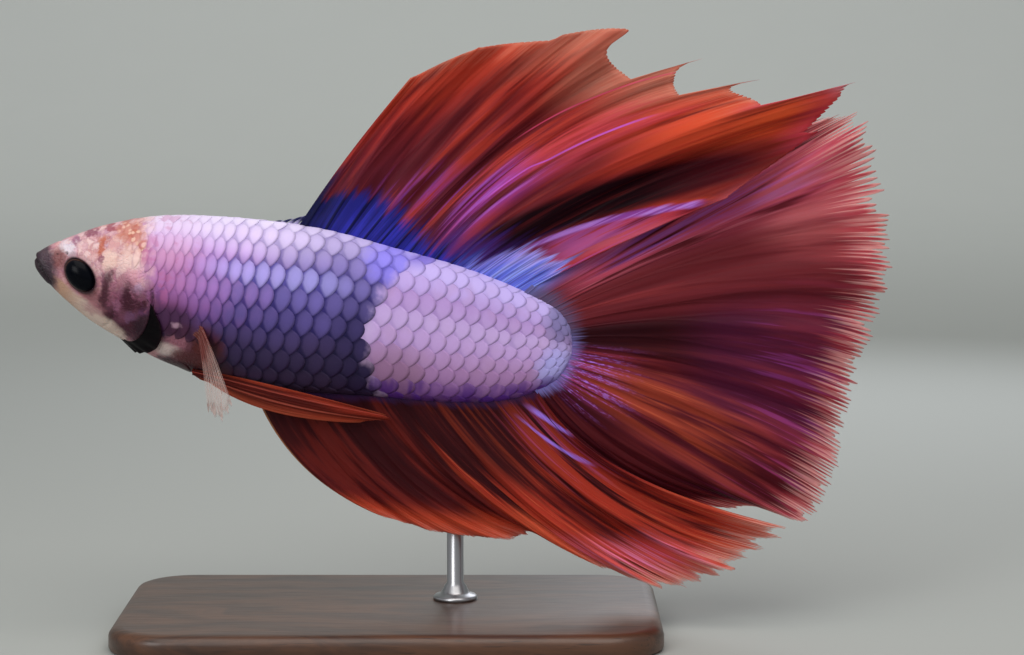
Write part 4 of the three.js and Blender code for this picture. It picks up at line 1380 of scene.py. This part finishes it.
def caudalColours(p, u, w, out, streaks, ray):
    fine, silk = streaks["fine"], streaks["silk"]
    stray, grain = silk - 0.5, fine - 0.5
    # rose folds and a painted violet sheen above, then a smooth wine brown
    rose = p.ease(u, 0.25, 0.13) * p.within(w, 0.1, 0.95, 0.1) * p.ease(silk, 0.34, 0.48)
    sky = p.ease(u, 0.09, 0.03) * p.ease(w + grain * 0.2, 0.26, 0.1)
    violet = p.near(u - w * 0.06, 0.085, 0.05) * p.within(w, 0.2, 0.78, 0.1) * p.ease(fine, 0.42, 0.58)
    mist = p.within(u, 0.08, 0.26, 0.06) * p.within(w, 0.62, 0.92, 0.1) * p.ease(silk, 0.36, 0.6)
    shown = p.layered(redSilk(p, w, streaks, caudal), [
        (rose * 0.9, "c04e68"),
        (rose * p.ease(fine, 0.5, 0.62) * 0.6, "d67c8c"),
        (sky * 0.8, "7884e4"),
        (violet * 0.75, "9c58b4"),
        (p.within(u, 0.19, 0.4, 0.05) * p.ease(w, 0.95, 0.75) * 0.65, "70262c"),
        (mist * 0.5, "bc6468"),
    ])
    # the dark wedge from the middle of the root, a painted violet sheen where it reaches the margin, painted
    # highlights on the rays below it and painted shade in valleys further down and outwards
    wedge = p.within(u + w * 0.03 + stray * 0.04, 0.42, 0.54, 0.03) * p.ease(w, 0.95, 0.2)
    purple = p.within(u, 0.38, 0.64, 0.07) * p.within(w, 0.42, 0.94, 0.12)
    lit = p.within(u - w * 0.02, 0.6, 0.8, 0.04) * p.ease(w, 0.85, 0.45) * p.ease(silk, 0.42, 0.58)
    deep = p.within(u, 0.66, 0.9, 0.05) * p.ease(w, 0.45, 0.75) * p.ease(silk, 0.62, 0.46)
    magenta = p.within(u, 0.58, 0.95, 0.06) * p.within(w, 0.66, 0.97, 0.1) * p.ease(fine, 0.54, 0.66)
    shown = p.layered(shown, [
        (wedge * 0.88, "24080f"),
        (purple * 0.6, "50183c"),
        (purple * p.ease(fine, 0.52, 0.64) * p.ease(w, 0.5, 0.7) * 0.5, "8a3a88"),
        (lit * 0.75, "a0402c"),
        (lit * p.ease(fine, 0.5, 0.64) * 0.5, "c45e3e"),
        (deep * 0.8, "420c16"),
        (magenta * 0.5, "a03c74"),
        (p.ease(u + stray * 0.06, 0.76, 0.86) * p.ease(w, 1.1, 0.75) * 0.75, "340a14"),
    ])
    # painted violet glints in front of the root, and a pale skirt along it
    glint = p.within(u, 0.55, 0.84, 0.05) * p.ease(w + stray * 0.2, 0.3, 0.06)
    spark = p.ease(streaks["glitter"] * 0.35 + fine * 0.65, 0.52, 0.6)
    shown = p.layered(shown, [
        (glint * p.ease(fine, 0.42, 0.58) * 0.6, "983890"),
        (glint * spark * 0.75, "b080ee"),
        (p.ease(w + grain * 0.12, 0.07, 0.015) * 0.75, p.mix(p.ease(u, 0.4, 0.55), "5c5478", "9088d8")),
    ])
    return marginGlow(p, shown, out, streaks, caudal, 0.85)


def analColours(p, u, w, out, streaks, ray):
    fine, silk, fold = streaks["fine"], streaks["silk"], streaks["fold"]
    stray = silk - 0.5
    # the second lobe: wine-brown at the root, with painted highlights in front and again along its rear
    rises = w - 0.36 * p.ease(u, 0.44, 0.3) - 0.3 * p.within(u, 0.44, 0.72, 0.1)
    second = p.ease(u + (fold - 0.5) * 0.04, 0.39, 0.45) * p.ease(rises + stray * 0.3, -0.02, 0.24)
    second = second * p.ease(silk + (fold - 0.5) * 0.5, 0.38, 0.54)
    rust = p.ease(u, 0.42, 0.6) * p.ease(w, 0.5, 0.15) * p.ease(silk, 0.45, 0.6)
    # painted shade in a valley between folds
    deep = p.within(u - w * 0.1, 0.58, 0.7, 0.04) * p.within(w, 0.4, 0.82, 0.1) * p.ease(silk, 0.66, 0.48)
    # painted pink highlights towards the tips
    pink = p.within(u, 0.5, 0.8, 0.05) * p.ease(w, 0.62, 0.82) * p.ease(silk, 0.34, 0.5)
    shown = p.layered(redSilk(p, w, streaks, anal), [
        (p.ease(w + stray * 0.2, 0.66, 0.88) * p.ease(u, 0.4, 0.3) * 0.8, "c44c30"),
        (second * 0.85, "b03828"),
        (second * p.ease(fine, 0.5, 0.64) * 0.5, "d0603e"),
        (p.within(u, 0.42, 0.5, 0.03) * p.ease(w, 0.5, 0.72) * 0.7, "d25c3c"),
        (rust * 0.55, "7c301f"),
        (deep * 0.8, "460e14"),
        (pink * 0.8, "de5c5a"),
        (pink * p.ease(fine, 0.48, 0.6) * 0.8, "e684b4"),
        (p.ease(u, 0.9, 0.97) * p.ease(w, 0.9, 0.4) * 0.6, "5a141c"),
    ])
    # painted violet highlights along the last rays, and a painted violet sheen over them
    violet = p.near(u - w * 0.4, 0.89, 0.02) * p.within(w, 0.07, 0.25, 0.04)
    violet = violet + p.near(u - w * 0.34, 0.805, 0.014) * p.within(w, 0.11, 0.36, 0.05) * 0.9
    sheen = p.within(u, 0.76, 0.98, 0.05) * p.within(w, 0.06, 0.45, 0.08) * p.ease(fine, 0.5, 0.62)
    shown = p.layered(shown, [
        (p.upToOne(violet) * p.ease(fine, 0.3, 0.45) * 0.95, "a880f2"),
        (sheen * 0.5, "8c3878"),
        (p.ease(w + stray * 0.06, 0.05, 0.01) * 0.75, "3a2450"),
    ])
    shown = marginGlow(p, shown, out, streaks, anal, p.ease(u, 0.3, 0.6) * 0.6 + 0.3)
    return p.mix(p.ease(u, 0.014, 0.004) * 0.7, shown, "b07c58")


def pelvicColours(p, u, w, out, streaks, ray):
    return p.layered(redSilk(p, w, streaks, pelvic), [
        (p.near(u, 0.3, 0.05) * 0.7, "a8483c"),
        (p.near(u, 0.62, 0.04) * 0.7, "b05444"),
        (p.ease(u, 0.6, 0.95) * 0.5, "b8553a"),
        (p.ease(u, 0.12, 0.02) * 0.5, "a84830"),
    ])


def pectoralPaint():
    p = Paint("pectoralFin")
    u, w, out = p.parts(p.markVector("fin"))
    ray = p.mark("ray")
    silk = p.noise(p.joined(u * 20, w * 2, 3.0), 1.0, 3.0)
    shown = p.mix(p.ease(w + (silk - 0.5) * 0.3, 0.3, 0.62), "6a2620", "c09890")
    shown = p.mix(p.ease(ray, 0.3, 0.9) * p.ease(w, 0.4, 0.7) * 0.7, shown, "e0c8c0")
    clear = p.ease(w, 0.6, 0.25) * 0.8 + p.ease(ray, 0.2, 0.8) * 0.45 + 0.04
    return p.finish({
        "Base Color": shown, "Roughness": 0.35, "Alpha": p.upToOne(clear),
        "Normal": p.bump(silk, 0.00005, 0.5),
        "Subsurface Weight": 0.2, "Subsurface Radius": (1.0, 0.4, 0.3), "Subsurface Scale": 0.0004,
    })


def addFins():
    addFin("dorsal_sail", "dorsal_fin", dorsal, finPaint("dorsalFin", dorsal, dorsalColours))
    addFin("caudal_sail", "caudal_fin", caudal, finPaint("caudalFin", caudal, caudalColours))
    addFin("anal_sail", "anal_fin", anal, finPaint("analFin", anal, analColours))
    pelvicLook, clearLook = finPaint("pelvicFin", pelvic, pelvicColours), pectoralPaint()
    for side, word in ((1, "left"), (-1, "right")):
        addFin("pelvic_blade_" + word, "pelvic_fin_" + word, pelvic, pelvicLook, side)
        addFin("pectoral_fan_" + word, "pectoral_fin_" + word, pectoral, clearLook, side)


# Short spines before the dorsal fin: place along the back, length and lean of each

spines = {
    "each": [(19.4, 0.55, 0.9), (20.0, 0.9, 0.8), (20.6, 1.3, 0.7), (21.1, 1.8, 0.62), (21.6, 2.5, 0.58)],
    "radius": (0.16, 0.015),  # what it loses up to the tip, and what is left there
    "flatness": 0.55,
    "sunk": 0.35,
    "bow": 0.25,
    "steps": (9, 10),  # rings up one spine, and points in each
}


def addSpines():
    p = Paint("dorsalSpine")
    up = p.mark("out")
    shown = p.mix(p.ease(up, 0.1, 0.5), "a9a0c8", "1a1c4c")
    shown = p.mix(p.ease(up, 0.75, 1.0) * 0.8, shown, "b8b4d8")
    material = p.finish({"Base Color": shown, "Roughness": 0.45, "Specular IOR Level": 0.2})
    rows, columns = spines["steps"]
    turns = 2 * math.pi * np.arange(columns) / columns
    across = np.array([0, spines["flatness"], 0])
    slim, tip = spines["radius"]
    points, faces, marks = [], [], []
    for at, length, lean in spines["each"]:
        foot = np.array([at, 0, section(np.array(at))[0] - spines["sunk"]])
        aim = np.array([math.sin(lean), 0, math.cos(lean)])
        side = np.array([math.cos(lean), 0, -math.sin(lean)])
        faces += cappedFaces(rows, columns, len(points))
        for t in np.arange(rows) / (rows - 1):
            middle = foot + aim * (length + spines["sunk"]) * t + side * spines["bow"] * length * t * t
            radius = slim * (1 - t) ** 0.7 + tip
            points += [middle + side * radius * math.cos(a) + across * radius * math.sin(a) for a in turns]
            marks += [t] * columns
    piece = makePiece("dorsal_spines", toWorld(points), faces, material, marks={"out": marks})


# Stand

stand = {
    "corner": 5.0, "cornerSteps": 16,
    # inset and height up the side of the base
    "edge": [(0.35, 0.0), (0.12, 0.1), (0.0, 0.32), (0.0, 1.2), (0.06, 1.45), (0.2, 1.66), (0.42, 1.84),
             (0.75, 1.95), (1.15, 2.0)],
    # radius and height of the rod, over its foot and then over its top
    "foot": [(0.02, 0.0), (1.9, 0.0), (1.9, 0.25), (1.75, 0.42), (1.35, 0.5), (1.15, 0.75), (0.95, 1.2),
             (0.72, 1.5)],
    "cup": [(0.72, -1.5), (0.8, -1.1), (1.1, -0.65), (1.3, -0.2), (1.3, 0.3), (0.02, 0.6)],
    "rodSteps": 48,
}


def woodMaterial():
    p = Paint("walnut")
    place = p.node("TexCoord", {}, {}, output=3)
    wood = p.stretch(place, (55.0, 420.0, 420.0))
    warp = p.noise(p.stretch(place, (30.0, 90.0, 90.0)), 1.0, 3.0)
    bands = p.noise(p.vector("ADD", wood, p.joined(0.0, warp * 9.0, 0.0)), 1.0, 5.0, 0.6)
    pores = p.noise(p.stretch(place, (350.0, 5200.0, 5200.0)), 1.0, 2.0)
    shown = p.ramp(bands, [(0.25, "2b1a11"), (0.45, "44291a"), (0.6, "5a3823"), (0.8, "382114")])
    shown = p.mix(p.ease(pores, 0.6, 0.72) * 0.6, shown, "1a0e08")
    return p.finish({
        "Base Color": shown, "Roughness": 0.38 + pores * 0.16,
        "Normal": p.bump(bands + pores, 0.00005, 0.35),
        "Coat Weight": 0.25, "Coat Roughness": 0.22,
    })


def steelMaterial():
    p = Paint("brushedSteel")
    place = p.node("TexCoord", {}, {}, output=3)
    brushed = p.noise(p.stretch(place, (900.0, 900.0, 30000.0)), 1.0, 2.0)
    return p.finish({
        "Base Color": colour("a9a9ac"), "Metallic": 1.0, "Roughness": 0.22 + brushed * 0.2,
        "Normal": p.bump(brushed, 0.00001, 0.3),
    })


def addStandBase():
    halfX, halfY = (baseHigh[:2] - baseLow[:2]) / 2 - stand["corner"]
    turns = np.linspace(0, math.pi / 2, stand["cornerSteps"] + 1)
    rings = []
    for inset, height in stand["edge"]:
        radius = stand["corner"] - inset
        ring = []
        for k, (sx, sy) in enumerate(((1, 1), (-1, 1), (-1, -1), (1, -1))):
            a = turns + k * math.pi / 2
            ring += list(zip(baseMiddle[0] + sx * halfX + radius * np.cos(a),
                             baseMiddle[1] + sy * halfY + radius * np.sin(a),
                             np.full(len(a), baseLow[2] + height)))
        rings.append(ring)
    points = np.array(rings)
    faces = cappedFaces(*points.shape[:2])
    piece = makePiece("stand_plinth", points.reshape(-1, 3) * mm, faces, woodMaterial())
    for polygon in list(piece.data.polygons)[-2:]:  # its flat underside and top
        polygon.use_smooth = False
    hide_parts("stand_base")


def addStandRod():
    low, high = (np.array(corner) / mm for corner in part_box("stand_rod"))
    middle = (low + high) / 2
    profile = [(radius, low[2] + height) for radius, height in stand["foot"]]
    profile += [(radius, high[2] + height) for radius, height in stand["cup"]]
    turns = 2 * math.pi * np.arange(stand["rodSteps"]) / stand["rodSteps"]
    points = np.array([[(middle[0] + r * math.cos(a), middle[1] + r * math.sin(a), z) for a in turns]
                       for r, z in profile])
    faces = cappedFaces(*points.shape[:2])
    piece = makePiece("stand_stem", points.reshape(-1, 3) * mm, faces, steelMaterial())
    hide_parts("stand_rod")


# Floor, backdrop and light

studio = {
    "floor": "a9aca8",
    "wall": "cdd0cc",
    "size": (1500, 500, 1500),  # half the width, the depth to the wall's bend, and the wall's height
    "bend": (220, 24),  # radius and steps
    "lamps": [  # name, place, aim, size, watts, tint
        ("top", (20, -70, 210), (10, 0, 26), 190, 0.26, "fffaf4"),
        ("key", (-110, -190, 120), (10, 0, 26), 110, 0.2, "ffffff"),
        ("behind", (70, 170, 120), (10, 0, 26), 120, 0.12, "f4f6ff"),
        ("wall", (0, 330, 520), (0, 720, 260), 400, 1.0, "ffffff"),
    ],
    "world": ("e4e6e8", 0.5),
}


def addFloor():
    p = Paint("floor")
    place = p.node("TexCoord", {}, {}, output=3)
    x, y, z = p.parts(place)
    shown = p.mix(p.ease(y, 0.1, 0.6), studio["floor"], studio["wall"])
    shown = p.mix(p.noise(place, 60.0, 2.0) * 0.05, shown, "a0a2a0")
    material = p.finish({"Base Color": shown, "Roughness": 0.8, "Specular IOR Level": 0.15})
    (wide, deep, high), (bend, steps) = studio["size"], studio["bend"]
    turns = np.linspace(0, math.pi / 2, steps)
    line = [(-wide, 0), (0, 0)]
    line += [(deep + bend * math.sin(a), bend * (1 - math.cos(a))) for a in turns]
    line += [(deep + bend, high)]
    points = [(side * wide, y, z) for y, z in line for side in (-1, 1)]
    mesh = bpy.data.meshes.new("floor")
    mesh.from_pydata((np.array(points) * mm).tolist(), [], gridFaces(len(line), 2, flip=True).tolist())
    mesh.polygons.foreach_set("use_smooth", np.ones(len(mesh.polygons), bool))
    mesh.materials.append(material)
    floor = bpy.data.objects.new("floor", mesh)
    bpy.context.scene.collection.objects.link(floor)
    floor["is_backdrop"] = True
    print("floor:", len(mesh.polygons), "faces")


def addLights():
    for name, place, aim, size, watts, tint in studio["lamps"]:
        data = bpy.data.lights.new(name, "AREA")
        data.size = size * mm
        data.energy = watts
        data.color = colour(tint)[:3]
        lamp = bpy.data.objects.new(name, data)
        lamp.location = Vector(place) * mm
        lamp.rotation_euler = (Vector(place) - Vector(aim)).to_track_quat("Z", "Y").to_euler()
        bpy.context.scene.collection.objects.link(lamp)
    world = bpy.data.worlds.new("studio")
    world.use_nodes = True
    tint, strength = studio["world"]
    background = world.node_tree.nodes["Background"]
    background.inputs["Color"].default_value = colour(tint)
    background.inputs["Strength"].default_value = strength
    bpy.context.scene.world = world
    bpy.context.scene.view_settings.view_transform = "Standard"
    print("lights:", len(studio["lamps"]))


addSkin()
addScales()
addEyes()
addFrills()
addFins()
addSpines()
addStandBase()
addStandRod()
addFloor()
addLights()

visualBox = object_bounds()
sizes = {"cad": [list(corner) for corner in cadBox], "visual": [list(corner) for corner in visualBox]}
